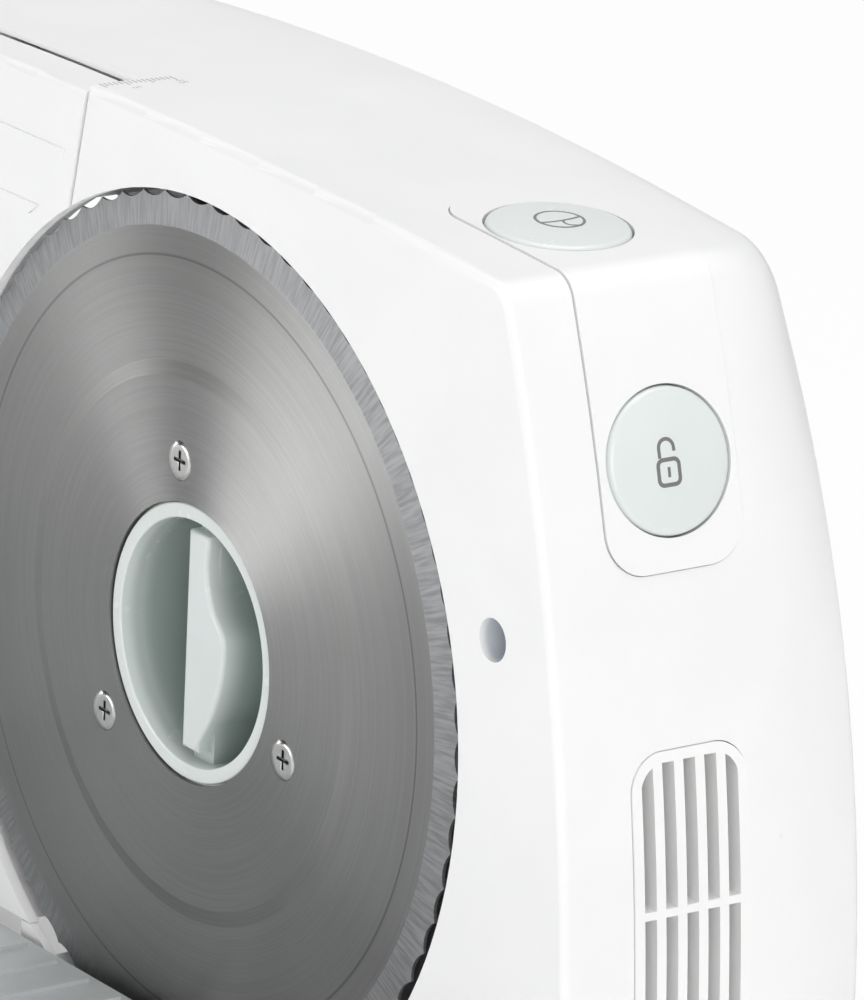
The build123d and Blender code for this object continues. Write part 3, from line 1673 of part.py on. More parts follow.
with BuildPart() as carriage_rail:
    with BuildSketch(Plane.YZ.offset(-post_x)):
        with Locations((rail_y, rail_z)):
            Circle(rail_radius)
    extrude(amount=2 * post_x)
carriage_rail.part.label = "carriage_rail"
export_step(carriage_rail.part, "parts/carriage_rail.step")

# Carriage: a tray with skirts and ribs, a guard at its left end, and its bearings
carriage_rear = front_y - carriage_gap
carriage_y = carriage_rear - carriage_depth / 2
carriage_x = carriage_rest_x + carriage_width / 2
bearing_xs = (carriage_x - bearing_spread, carriage_x + bearing_spread)
glide_y = front_y - glide_from_front
carriage_floor = carriage_top - carriage_plate
carriage_rib_total = int((carriage_width - carriage_rib_first) / carriage_rib_pitch) + 1
with BuildPart() as carriage:
    with BuildSketch(Plane.XY.offset(carriage_skirt_bottom)):
        with Locations((carriage_x, carriage_y)):
            RectangleRounded(carriage_width, carriage_depth, carriage_corner)
    extrude(amount=carriage_top - carriage_skirt_bottom)
    with BuildSketch(Plane.XY.offset(carriage_skirt_bottom)):
        with Locations((carriage_x, carriage_y)):
            RectangleRounded(
                carriage_width - 2 * carriage_plate,
                carriage_depth - 2 * carriage_plate,
                carriage_corner - carriage_plate,
            )
    extrude(amount=carriage_floor - carriage_skirt_bottom, mode=Mode.SUBTRACT)
    with Locations((carriage_x, carriage_y, side_skirt_bottom)):
        Box(
            carriage_width * 2,
            carriage_depth - 2 * carriage_corner,
            carriage_top - carriage_skirt_bottom,
            align=(Align.CENTER, Align.CENTER, Align.MAX),
            mode=Mode.SUBTRACT,
        )
    with BuildSketch(Plane.XY.offset(carriage_top)):
        with Locations(
            *[
                (carriage_rest_x + carriage_rib_first + carriage_rib_pitch * step, carriage_y)
                for step in range(carriage_rib_total)
            ]
        ):
            Rectangle(carriage_rib_width, carriage_depth - 2 * carriage_gap)
    extrude(amount=carriage_rib_height)
    with BuildSketch(Plane.YZ.offset(carriage_rest_x)):
        with Locations((carriage_y, carriage_floor)):
            Rectangle(
                carriage_depth - 2 * guard_margin,
                guard_height,
                align=(Align.CENTER, Align.MIN),
            )
    extrude(amount=guard_thickness)
    guard_tops = carriage.edges().filter_by(Axis.X).filter_by(
        lambda edge: edge.center().Z > carriage_top + guard_height / 2
    )
    fillet(guard_tops, guard_corner)
    for bearing_x in bearing_xs:
        with BuildSketch(Plane.YZ.offset(bearing_x)):
            with Locations((rail_y, rail_z)):
                Circle(bearing_radius)
                Rectangle(
                    2 * bearing_sleeve,
                    carriage_floor - rail_z,
                    align=(Align.CENTER, Align.MIN),
                )
            with Locations((rail_y, rail_z)):
                Circle(bearing_sleeve, mode=Mode.SUBTRACT)
        extrude(amount=bearing_length / 2, both=True)
    with Locations((carriage_x, glide_y, carriage_floor)):
        Box(
            glide_length,
            carriage_plate,
            carriage_floor - base_top - fit_gap - glide_thickness + glide_groove,
            align=(Align.CENTER, Align.CENTER, Align.MAX),
        )
carriage.part.label = "carriage"
export_step(carriage.part, "parts/carriage.step")

with BuildPart() as carriage_bearings:
    for bearing_x in bearing_xs:
        with BuildSketch(Plane.YZ.offset(bearing_x)):
            with Locations((rail_y, rail_z)):
                Circle(bearing_sleeve)
                Circle(rail_radius + running_gap, mode=Mode.SUBTRACT)
        extrude(amount=bearing_length / 2, both=True)
carriage_bearings.part.label = "carriage_bearings"
export_step(carriage_bearings.part, "parts/carriage_bearings.step")

with BuildPart() as carriage_glide:
    with Locations((carriage_x, glide_y, base_top + fit_gap)):
        Box(
            glide_length,
            glide_width,
            glide_thickness,
            align=(Align.CENTER, Align.CENTER, Align.MIN),
        )
    with Locations((carriage_x, glide_y, base_top + fit_gap + glide_thickness)):
        Box(
            glide_length,
            carriage_plate,
            2 * glide_groove,
            mode=Mode.SUBTRACT,
        )
carriage_glide.part.label = "carriage_glide"
export_step(carriage_glide.part, "parts/carriage_glide.step")

# Cable gland: a rubber sleeve in the back wall
with BuildPart() as cable_gland:
    with BuildSketch(at_point(blade_x + gland_x, blade_z + gland_z, body_depth)):
        Circle(gland_flange)
    extrude(amount=-gland_flange_thickness)
    with BuildSketch(at_point(blade_x + gland_x, blade_z + gland_z, body_depth)):
        Circle(gland_radius)
    extrude(amount=gland_length)
    with BuildSketch(at_point(blade_x + gland_x, blade_z + gland_z, body_depth)):
        Circle(gland_bore)
    extrude(amount=gland_length + gland_flange_thickness, both=True, mode=Mode.SUBTRACT)
cable_gland.part.label = "cable_gland"
export_step(cable_gland.part, "parts/cable_gland.step")
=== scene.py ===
# %% [markdown]
# # An electric food slicer, dressed round its CAD model
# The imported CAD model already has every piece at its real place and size, in metres.
# This lesson gives that model its looks: smooth shading on the moulded and turned
# pieces, printed signs and a scale, and a procedural material for every surface.

# %% Load the CAD model as a fixed frame
import json
import math

import bpy
from mathutils import Matrix, Vector


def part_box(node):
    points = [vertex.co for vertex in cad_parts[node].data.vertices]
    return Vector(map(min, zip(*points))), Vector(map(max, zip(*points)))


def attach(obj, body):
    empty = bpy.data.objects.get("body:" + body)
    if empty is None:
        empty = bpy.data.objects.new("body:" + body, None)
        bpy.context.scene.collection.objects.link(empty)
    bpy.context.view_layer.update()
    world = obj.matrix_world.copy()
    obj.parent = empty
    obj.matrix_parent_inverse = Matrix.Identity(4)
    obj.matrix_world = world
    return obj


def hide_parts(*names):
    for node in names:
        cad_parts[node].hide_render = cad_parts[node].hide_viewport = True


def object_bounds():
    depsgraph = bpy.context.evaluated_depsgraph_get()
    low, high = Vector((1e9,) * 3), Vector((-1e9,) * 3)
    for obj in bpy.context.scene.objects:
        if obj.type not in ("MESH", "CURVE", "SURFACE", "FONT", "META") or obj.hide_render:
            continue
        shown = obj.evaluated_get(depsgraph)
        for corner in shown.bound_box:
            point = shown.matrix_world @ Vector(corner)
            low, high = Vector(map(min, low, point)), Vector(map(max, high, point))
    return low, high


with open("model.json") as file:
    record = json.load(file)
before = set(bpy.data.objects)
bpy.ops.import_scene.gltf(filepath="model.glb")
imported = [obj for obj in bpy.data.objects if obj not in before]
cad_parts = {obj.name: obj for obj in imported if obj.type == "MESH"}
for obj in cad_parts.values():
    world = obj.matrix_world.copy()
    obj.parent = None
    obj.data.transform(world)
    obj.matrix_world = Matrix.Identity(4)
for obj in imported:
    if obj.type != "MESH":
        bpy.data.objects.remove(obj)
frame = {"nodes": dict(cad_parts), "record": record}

cad_low, cad_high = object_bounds()
print("nodes", len(frame["nodes"]), "cad box", list(cad_low), list(cad_high))

# %% [markdown]
# ## The camera
# The photograph is a close view from the front right and a little above, taken with a
# long lens, so the circles stay clean ellipses. The lens and the place were measured
# from the blade's rim, its three screws and the edges of the casing, and are set as a
# turn and a distance from the centre of the blade.

# %% Place the camera where the photograph was taken
BLADE_CENTRE = Vector((0.035, 0.03405, 0.13))
FRONT_TO_BACK = Vector((0, 1, 0))
camera_azimuth = math.radians(53.9582)
camera_elevation = math.radians(17.4716)
camera_roll = math.radians(2.6555)
# How far the blade's centre is to the right of, above and in front of the lens
blade_from_camera = Vector((-0.0449149, -0.0266774, 1.4870666))

level_right = Vector((math.cos(camera_azimuth), math.sin(camera_azimuth), 0))
towards_camera = Vector((
    math.sin(camera_azimuth) * math.cos(camera_elevation),
    -math.cos(camera_azimuth) * math.cos(camera_elevation),
    math.sin(camera_elevation)))
level_up = towards_camera.cross(level_right)
view_right = math.cos(camera_roll) * level_right + math.sin(camera_roll) * level_up
view_up = math.cos(camera_roll) * level_up - math.sin(camera_roll) * level_right

bpy.ops.object.camera_add()
camera = bpy.context.object
camera.name = "photo_camera"
camera.location = (BLADE_CENTRE - view_right * blade_from_camera.x
                   - view_up * blade_from_camera.y + towards_camera * blade_from_camera.z)
camera.rotation_euler = Matrix((view_right, view_up, towards_camera)).transposed().to_euler()
camera.data.lens = 288
camera.data.sensor_width = 36
camera.data.clip_end = 100
bpy.context.scene.camera = camera
bpy.context.scene.view_settings.view_transform = "Standard"
print("camera at", [round(v, 4) for v in camera.location])

# %% [markdown]
# ## Numbers that flow through a material
# A material is a small net of nodes. Wrapping a socket in a class lets the net be
# written as ordinary sums: each operator adds the Math node that works it out. Colours
# and directions go through Mix and Vector Math, because a Math node turns them grey.

# %% A wrapped socket with operators
class Signal:
    """One output socket of a material, which Python's operators work on."""

    def __init__(self, tree, socket=None):
        self.tree = tree
        self.socket = socket

    def node(self, kind, settings=None, sockets=None, output=0):
        """Adds a node of any kind: its settings first, then its sockets' values or links."""
        made = self.tree.nodes.new("ShaderNode" + kind)
        for name, value in (settings or {}).items():
            setattr(made, name, value)
        for name, value in (sockets or {}).items():
            if isinstance(value, Signal):
                self.tree.links.new(value.socket, made.inputs[name])
            else:
                made.inputs[name].default_value = value
        return Signal(self.tree, made.outputs[output])

    def math(self, operation, *values):
        return self.node("Math", {"operation": operation}, dict(enumerate(values)))

    def vector(self, operation, *values, output=0):
        return self.node("VectorMath", {"operation": operation},
                         dict(enumerate((self, *values))), output)

    def between(self, low, high):
        """Rises smoothly from 0 at low to 1 at high."""
        return self.node("MapRange", {"interpolation_type": "SMOOTHSTEP"},
                         {"Value": self, "From Min": low, "From Max": high})

    def colours(self, first, second):
        """The first colour where this is 0, the second where it is 1."""
        return self.node("Mix", {"data_type": "RGBA"}, {0: self, 6: first, 7: second}, 2)

    def scaled(self, amount):
        """A direction made longer or shorter by a number that may vary."""
        return self.node("VectorMath", {"operation": "SCALE"}, {0: self, "Scale": amount})

    def __add__(self, other):
        return self.math("ADD", self, other)

    def __sub__(self, other):
        return self.math("SUBTRACT", self, other)

    def __rsub__(self, other):
        return self.math("SUBTRACT", other, self)

    def __mul__(self, other):
        return self.math("MULTIPLY", self, other)

    __radd__ = __add__
    __rmul__ = __mul__


def new_finish(name, gloss, metal=0.0):
    """A material, its Principled shader, and a signal on the piece's own coordinates."""
    material = bpy.data.materials.new(name)
    material.use_nodes = True
    shader = material.node_tree.nodes["Principled BSDF"]
    shader.inputs["Roughness"].default_value = gloss
    shader.inputs["Metallic"].default_value = metal
    place = Signal(material.node_tree).node("TexCoord", output="Object")
    return material, shader, place


def feed(shader, socket, signal):
    """Links what varies over the surface to one of the shader's sockets."""
    signal.tree.links.new(signal.socket, shader.inputs[socket])


def grain(place, size, detail=2.0, stretch=(1, 1, 1)):
    """Noise from 0 to 1 whose blobs are about this size in metres."""
    stretched = place.vector("MULTIPLY", stretch)
    return stretched.node("TexNoise", None,
                          {"Vector": stretched, "Scale": 1 / size, "Detail": detail})


# %% [markdown]
# ## Moulded plastic
# The casing is glossy white plastic from a polished mould, the buttons and the lock are
# a paler grey with a breath of green, and the hidden frames and gears are plain nylon.
# All are one recipe: a colour that drifts a little, as flow in the mould leaves it, a
# gloss that varies in soft clouds, and a very fine skin on the surface.

# %% Plastic finishes
DRIFT_SIZE = 0.03  # how far apart the colour's pale and dark areas lie
CLOUD_SIZE = 0.006  # the same for the gloss
CLOUD_SHARE = 0.3  # and by what part of itself the gloss varies


def moulded_plastic(name, colour, drift_colour, gloss, skin_size, skin_depth):
    material, shader, place = new_finish(name, gloss)
    drift = grain(place, DRIFT_SIZE)
    feed(shader, "Base Color", drift.between(0.35, 0.65).colours(colour, drift_colour))
    clouds = grain(place, CLOUD_SIZE, 3)
    feed(shader, "Roughness", gloss + (clouds - 0.5) * (gloss * CLOUD_SHARE))
    skin = place.node("Bump", None, {"Height": grain(place, skin_size),
                                     "Distance": skin_depth, "Strength": 1.0})
    feed(shader, "Normal", skin)
    return material


casing_white = moulded_plastic("casing_white_plastic", (0.88, 0.88, 0.885, 1),
                               (0.9, 0.9, 0.9, 1), 0.3, 0.0004, 0.000002)
control_pale = moulded_plastic("control_pale_plastic", (0.72, 0.77, 0.755, 1),
                               (0.75, 0.79, 0.78, 1), 0.26, 0.0005, 0.000001)
grille_white = moulded_plastic("grille_white_plastic", (0.88, 0.885, 0.88, 1),
                               (0.91, 0.91, 0.905, 1), 0.34, 0.0003, 0.000002)
gear_nylon = moulded_plastic("gear_nylon", (0.72, 0.71, 0.66, 1),
                             (0.78, 0.77, 0.72, 1), 0.42, 0.0004, 0.000004)
frame_nylon = moulded_plastic("frame_filled_nylon", (0.2, 0.205, 0.21, 1),
                              (0.26, 0.265, 0.27, 1), 0.55, 0.0003, 0.00001)
switch_black = moulded_plastic("switch_black_plastic", (0.02, 0.02, 0.022, 1),
                               (0.035, 0.035, 0.035, 1), 0.45, 0.0003, 0.000006)
foot_rubber = moulded_plastic("foot_rubber", (0.1, 0.1, 0.105, 1),
                              (0.14, 0.14, 0.14, 1), 0.75, 0.0006, 0.00003)
glide_plastic = moulded_plastic("glide_slippery_plastic", (0.33, 0.34, 0.36, 1),
                                (0.38, 0.39, 0.4, 1), 0.38, 0.0004, 0.000003)
print("plastics", [m.name for m in bpy.data.materials if "plastic" in m.name])

# %% [markdown]
# ## Metal
# Screws and shafts are turned steel, the motor's case is rolled and plated, and the
# bushes are pressed bronze with open pores. The carriage is silver grey and brushed
# along its ribs. Fine scratches are noise that is stretched far along one direction.

# %% Metal finishes
WEAR_SIZE = 0.012  # how far apart the worn areas lie
MARK_SHARE = 0.5  # by what part of itself the gloss varies from mark to mark


def worked_metal(name, colour, worn_colour, gloss, stretch, mark_size, mark_depth, metal=1.0):
    material, shader, place = new_finish(name, gloss, metal)
    marks = grain(place, mark_size, 3, stretch)
    wear = grain(place, WEAR_SIZE, 2)
    worn = (marks * 0.5 + wear * 0.5).between(0.3, 0.7)
    feed(shader, "Base Color", worn.colours(colour, worn_colour))
    feed(shader, "Roughness", gloss + (marks - 0.5) * (gloss * MARK_SHARE))
    scratches = place.node("Bump", None, {"Height": marks, "Distance": mark_depth})
    feed(shader, "Normal", scratches)
    return material


# Noise squeezed along a direction draws marks that run along it
along_x, along_y, even, around_y = (0.02, 1, 1), (1, 0.03, 1), (1, 1, 1), (0.05, 1, 0.05)
bright_steel = worked_metal("turned_steel", (0.5, 0.5, 0.49, 1), (0.62, 0.61, 0.6, 1),
                            0.24, along_y, 0.0006, 0.000004)
carriage_silver = worked_metal("carriage_silver", (0.56, 0.585, 0.585, 1),
                               (0.62, 0.64, 0.645, 1), 0.36, along_x, 0.0005, 0.000006, 0.3)
bush_bronze = worked_metal("bush_bronze", (0.42, 0.25, 0.12, 1), (0.52, 0.34, 0.18, 1),
                           0.45, even, 0.0003, 0.00002)
motor_plated = worked_metal("motor_plated_steel", (0.42, 0.42, 0.41, 1),
                            (0.55, 0.55, 0.54, 1), 0.38, along_y, 0.0009, 0.000006)
motor_iron = worked_metal("motor_core_iron", (0.16, 0.15, 0.15, 1), (0.28, 0.27, 0.26, 1),
                          0.5, around_y, 0.0007, 0.00003)
print("metals", [m.name for m in (bright_steel, carriage_silver, bush_bronze, motor_plated,
                                 motor_iron)])

# %% [markdown]
# ## The blade's steel
# The blade is polished while it turns, which leaves thousands of fine rings. Each ring
# tips the surface a little in or out along the radius, so a lamp shows as a bright wedge
# that points at the centre. The ground edge is cut the other way, by strokes that run
# outwards. The rings are far finer than a pixel, so they are not a bump: the material
# tips the surface's normal itself, by a saw tooth that depends on the radius alone. The
# tooth leans outwards, as a sheet that is dished and turned on a wheel has it.

# %% Directions on a flat round face
def off_axis(place, centre):
    """The way out from a line that runs from front to back through a centre."""
    return place.vector("SUBTRACT", tuple(centre)).vector("MULTIPLY", (1, 0, 1))


def length(direction):
    return direction.vector("LENGTH", output="Value")


def tipped(place, tip):
    """The surface's normal, tipped by a small direction in the piece's own coordinates."""
    world_tip = tip.node("VectorTransform", {"vector_type": "VECTOR",
                         "convert_from": "OBJECT", "convert_to": "WORLD"}, {"Vector": tip})
    surface = place.node("NewGeometry", output="Normal")
    return surface.vector("ADD", world_tip).vector("NORMALIZE")


# %% [markdown]
# ## Rings, strokes and the blade's zones
# From the middle outwards the real blade has a flat part, a pressed step, a slightly
# darker outer part with a fine turned groove, and the ground edge. The groove's dark line
# is painted shade. The radius alone tells which zone a point is in, so every zone is a
# step or a slope of the radius.

# %% Steel brushed in rings, with a ground edge
STEP_RADIUS, DARK_RADIUS = 0.0535, 0.076
GROOVE_RADIUS = 0.073
GROUND_FROM, GROUND_TO = 0.0783, 0.0787
EDGE_RADIUS = 0.0825
RING_PITCH = 0.0004
SCRATCH_PITCH = 0.00004
STROKE_PITCH = 0.0006
SCRATCH_TIP = 0.75  # how far a scratch tips the normal, where 1 is 45 degrees
SCRATCH_LEAN = 0.3  # below a half, more of each scratch faces outwards


def rings(radius, outward):
    """Visible rings: noise that changes along the radius and slowly round the blade."""
    along = radius.node("CombineXYZ", None, {"Y": radius * (1 / RING_PITCH)})
    return along.node("TexNoise", None, {
        "Vector": outward.scaled(1.5).vector("ADD", along), "Scale": 1.0, "Detail": 1.0})


def strokes(radius, outward):
    """Noise that changes round the blade and only slowly along the radius."""
    slow = radius.node("CombineXYZ", None, {"Y": radius * 150.0})
    return slow.node("TexNoise", None, {
        "Vector": outward.scaled(EDGE_RADIUS / STROKE_PITCH).vector("ADD", slow),
        "Scale": 1.0, "Detail": 2.0})


def blade_finish():
    material, shader, place = new_finish("blade_steel", 0.28, 1.0)
    flat = off_axis(place, BLADE_CENTRE)
    radius = length(flat)
    outward = flat.vector("NORMALIZE")
    around = outward.vector("CROSS_PRODUCT", tuple(FRONT_TO_BACK))

    ground = radius.between(GROUND_FROM, GROUND_TO)
    coarse, cut = rings(radius, outward), strokes(radius, outward)
    turns = radius * (1 / SCRATCH_PITCH) + coarse * 5.0
    scratch = turns.math("FRACT", turns)
    from_groove = radius - GROOVE_RADIUS
    groove_shade = 1 - from_groove.math("ABSOLUTE", from_groove).between(0.0001, 0.0004)
    tip_out = ((scratch - SCRATCH_LEAN) * SCRATCH_TIP + (coarse - 0.5) * 0.02) * (1 - ground)
    tip_round = (cut - 0.5) * 0.12 * ground
    feed(shader, "Roughness", 0.28 + ground * 0.2)
    feed(shader, "Normal", tipped(place, outward.scaled(tip_out).vector(
        "ADD", around.scaled(tip_round))))

    outer = radius.between(STEP_RADIUS, DARK_RADIUS) * (1 - ground)
    shine = coarse.between(0.3, 0.7).colours(
        (0.26, 0.26, 0.257, 1), (0.285, 0.285, 0.281, 1))
    # Painted shade: the turned groove is coloured dark for the shade in its recess; the outer
    # part is also made a little darker
    darker = (outer * 0.2 + groove_shade * 0.6).colours(shine, (0.12, 0.12, 0.12, 1))
    feed(shader, "Base Color", ground.colours(darker, cut.between(0.3, 0.7).colours(
        (0.22, 0.224, 0.23, 1), (0.3, 0.304, 0.31, 1))))
    return material


blade_steel = blade_finish()
print("blade finish", blade_steel.name, "nodes", len(blade_steel.node_tree.nodes))

# %% [markdown]
# ## The screws in the blade
# Three nickel-plated screws hold the blade to its gear. Their heads are only a few pixels
# wide in the photograph, so the rolled rim and the shade in the cross recess are put into
# the material: each screw's own centre gives a radius, and the rim tips outwards there.

# %% Plated heads with a rolled rim, and painted shade in the cross recess and round the edge
SCREW_CIRCLE = 0.03465
SCREW_ANGLES = (98.2, 218.2, 338.2)
SCREW_REACH = 0.0045  # each screw's own area, a little wider than its head
ARM_HALF_WIDTH, ARM_LENGTH = 0.0003, 0.0017
RIM_FROM, RIM_TO = 0.0025, 0.0038


def screw_finish():
    material, shader, place = new_finish("nickel_plated_screw", 0.2, 1.0)
    from_screw = place.scaled(0.0)
    for angle in map(math.radians, SCREW_ANGLES):
        centre = BLADE_CENTRE + SCREW_CIRCLE * Vector((math.cos(angle), 0, math.sin(angle)))
        offset = off_axis(place, centre)
        near = 1 - length(offset).between(SCREW_REACH, SCREW_REACH + 0.0005)
        from_screw = from_screw.vector("ADD", offset.scaled(near))
    reach = length(from_screw)
    arms = []
    for way in "XZ":
        across = from_screw.node("SeparateXYZ", None, {"Vector": from_screw}, way)
        arms.append(1 - across.math("ABSOLUTE", across).between(
            ARM_HALF_WIDTH, 2 * ARM_HALF_WIDTH))
    cross = arms[0].math("MAXIMUM", *arms)
    recess = cross * (1 - reach.between(ARM_LENGTH, ARM_LENGTH + 0.0005))
    rim = reach.between(RIM_FROM, RIM_TO)
    plate = grain(place, 0.0008).colours((0.6, 0.59, 0.575, 1), (0.74, 0.73, 0.71, 1))
    # Painted shade: the cross recess and a thin ring round the edge of each head are coloured
    # dark
    shaded = recess.math("MAXIMUM", recess, reach.between(RIM_TO - 0.0003, RIM_TO) * 0.7)
    feed(shader, "Base Color", shaded.colours(plate, (0.15, 0.148, 0.145, 1)))
    outward = from_screw.vector("NORMALIZE")
    feed(shader, "Normal", tipped(place, outward.scaled(rim * 0.8 - recess * 0.5)))
    return material


plated_screw = screw_finish()
print("screw finish", plated_screw.name, "nodes", len(plated_screw.node_tree.nodes))

# %% [markdown]
# ## Shade inside the lock and the hole
# The lock is moulded from the buttons' plastic. Deep in its cup, and on the cup's wall,
# its colour is painted darker as painted shade. The blind hole in the front is painted
# darker inside in the same way, as painted shade.

# %% Copies of a finish with painted shade inside
HOLE_CENTRE = BLADE_CENTRE + Vector((0.0956, 0, 0.0294))
HOLE_CENTRE.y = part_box("front_cover")[0][1]
HOLE_RADIUS = 0.0043  # the hole's wall with a little of the cover round it
CUP_WALL_FROM, CUP_WALL_TO = 0.0226, 0.0232


def shaded_copy(finish, name, amount, shade_colour):
    """A copy of a finish that turns to a painted shade colour where amount(place) rises to 1.
    """
    material = finish.copy()
    material.name = name
    shader = material.node_tree.nodes["Principled BSDF"]
    plain = Signal(material.node_tree, shader.inputs["Base Color"].links[0].from_socket)
    place = plain.node("TexCoord", output="Object")
    feed(shader, "Base Color", amount(place).colours(plain, shade_colour))
    return material


def depth_between(place, low, high):
    """Rises from 0 to 1 between two places on the way from front to back."""
    return place.node("SeparateXYZ", None, {"Vector": place}, "Y").between(low, high)


# Painted shade: the blind hole's wall and floor are coloured darker, as shade would fall there
def in_hole(place):
    near = 1 - length(off_axis(place, HOLE_CENTRE)).between(HOLE_RADIUS, HOLE_RADIUS + 0.0003)
    return near * depth_between(place, HOLE_CENTRE.y + 0.0003, HOLE_CENTRE.y + 0.002)


# Painted shade: the cup's floor and its wall are coloured darker, the deeper they lie
def in_cup(place):
    by_depth = depth_between(place, 0.0335, 0.042) * 0.85
    wall = length(off_axis(place, BLADE_CENTRE)).between(CUP_WALL_FROM, CUP_WALL_TO)
    return by_depth.math("MAXIMUM", by_depth, wall * depth_between(place, 0.0346, 0.038) * 0.6)


lock_pale_painted_shade = shaded_copy(control_pale, "lock_pale_plastic_painted_shade", in_cup, (0.32, 0.38, 0.36, 1))
cover_white_painted_shade = shaded_copy(casing_white, "cover_white_plastic_painted_shade", in_hole, (0.66, 0.685, 0.73, 1))
print("shaded", lock_pale_painted_shade.name, cover_white_painted_shade.name, "hole at", list(HOLE_CENTRE))

# %% [markdown]
# ## One material for every node
# The record names a material slot for each CAD node. Each slot takes the finish made
# for it, so no piece is left with a plain colour, even where the casing hides it.

# %% Give each slot its finish
FINISH_OF_SLOT = {
    "white_casing": casing_white, "pale_control": control_pale, "grille": grille_white,
    "steel": bright_steel, "carriage_metal": carriage_silver, "gear_plastic": gear_nylon,
    "frame_plastic": frame_nylon, "bronze": bush_bronze, "motor_iron": motor_iron,
    "motor_case": motor_plated, "switch_body": switch_black, "foot_rubber": foot_rubber,
    "glide_plastic": glide_plastic}
OWN_FINISH = {"blade": blade_steel, "blade_screws": plated_screw, "blade_lock": lock_pale_painted_shade,
              "front_cover": cover_white_painted_shade}
slot_of_node = {}
for node_name, node in frame["nodes"].items():
    slot_of_node[node_name] = node.material_slots[0].material.name.split(".")[0]
    finish = FINISH_OF_SLOT[slot_of_node[node_name]]
    for slot in node.material_slots:
        slot.material = OWN_FINISH.get(node_name, finish)
print("slots", sorted(set(slot_of_node.values())))

# %% [markdown]
# ## Smooth skins
# A CAD node is a bag of loose triangles, so its round faces show flat facets. A copy of
# it is welded, its sharp edges are found by angle, and the normals are weighted by area
# so that flat faces stay flat beside the small rounded edges. The copy then stands in
# for the node and moves with the same body.

# %% Weld and smooth a copy of each piece that shows
body_of_node = {name: body for body, names in
                frame["record"]["behaviour"]["bodies"].items() for name in names}
SHOWN_NODES = (
    "rear_housing", "front_cover", "button_panel", "vent_grille", "slice_button",
    "lock_button", "blade", "blade_screws", "blade_lock", "blade_axle", "fence_plate",
    "thickness_dial", "base", "base_screws", "rubber_feet", "carriage", "carriage_rail",
    "carriage_bearings", "carriage_glide", "cable_gland")
WELD = 0.000001

# An edge counts as sharp from this angle on. The blade's pressed step and ground edge are
# shallow, so they count as sharp at once. The lock's small fillets have few facets, so
# only its square edges do
USUALLY_SHARP = 45
SHARP_FROM = {"blade": 4, "blade_lock": 65}


def deselect():
    bpy.ops.object.select_all(action="DESELECT")


def work_on(piece):
    """Makes a piece the only selected one, which the next operators act on."""
    deselect()
    piece.select_set(True)
    bpy.context.view_layer.objects.active = piece


def smooth_by_angle(piece, degrees):
    work_on(piece)
    bpy.ops.object.shade_smooth_by_angle(angle=math.radians(degrees))
    weighted = piece.modifiers.new("even_normals", "WEIGHTED_NORMAL")
    weighted.mode = "FACE_AREA_WITH_ANGLE"
    weighted.keep_sharp = True
    bpy.ops.object.modifier_apply(modifier=weighted.name)


def smooth_copy(node_name):
    """A welded and smoothed copy that stands in for a node and moves with its body."""
    work_on(frame["nodes"][node_name])
    bpy.ops.object.duplicate()
    piece = bpy.context.object
    piece.name = node_name + "_skin"
    bpy.ops.object.mode_set(mode="EDIT")
    bpy.ops.mesh.select_all(action="SELECT")
    bpy.ops.mesh.remove_doubles(threshold=WELD)
    bpy.ops.object.mode_set(mode="OBJECT")
    bpy.ops.mesh.customdata_custom_splitnormals_clear()
    smooth_by_angle(piece, SHARP_FROM.get(node_name, USUALLY_SHARP))
    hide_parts(node_name)
    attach(piece, body_of_node[node_name])
    return piece


skins = {}
for node_name in SHOWN_NODES:
    skins[node_name] = smooth_copy(node_name)
    print(node_name, "faces", len(skins[node_name].data.polygons))

# %% [markdown]
# ## The floor
# The object was photographed on white, with only a soft shadow under it. The floor is a
# wide disc of pale paint. The camera sees it mostly as its own white glow, which hides
# where it ends, and the little paint that is left in the mix keeps the shadow.

# %% A pale floor that glows for the camera
FLOOR_DROP = 0.0002  # a hair below the feet
GLOW_SHARE = 0.95

bpy.ops.mesh.primitive_circle_add(vertices=64, radius=6, fill_type="NGON",
                                  location=(0, 0, cad_low.z - FLOOR_DROP))
floor = bpy.context.object
floor.name = "studio_floor"
floor_paint, floor_shader, floor_place = new_finish("floor_white", 0.9)
feed(floor_shader, "Base Color", grain(floor_place, 0.5).colours(
    (0.93, 0.93, 0.93, 1), (0.95, 0.95, 0.95, 1)))
seen = floor_place.node("LightPath", output="Is Camera Ray")
glow = floor_place.node("Emission", None, {"Strength": 1.0})
lifted = floor_place.node("MixShader", None, {0: seen * GLOW_SHARE})
paint_nodes = floor_paint.node_tree
mixer = lifted.socket.node
paint_nodes.links.new(floor_shader.outputs[0], mixer.inputs[1])
paint_nodes.links.new(glow.socket, mixer.inputs[2])
paint_nodes.links.new(lifted.socket, paint_nodes.nodes["Material Output"].inputs["Surface"])
floor.data.materials.append(floor_paint)
print("floor at", round(floor.location.z, 5))

# %% [markdown]
# ## The surround
# The camera and the metal see a white room. It shows as full white but adds only a plain
# even light, so the white casing keeps its shading and never clips. Metal looks like
# metal only where it has something darker to show as well, so the metal also sees a dim
# patch of the room beside the front lamp: it gives the blade its dark band at the top.

# %% A white room with a dim patch for the metal
AMBIENT = 0.5
DIM_TOWARDS = (-0.72, -0.68, 0.13)
DIM_FROM, DIM_TO = 0.8, 0.94  # cosines of the angle from the patch's middle
DIM_SHARE = 0.96

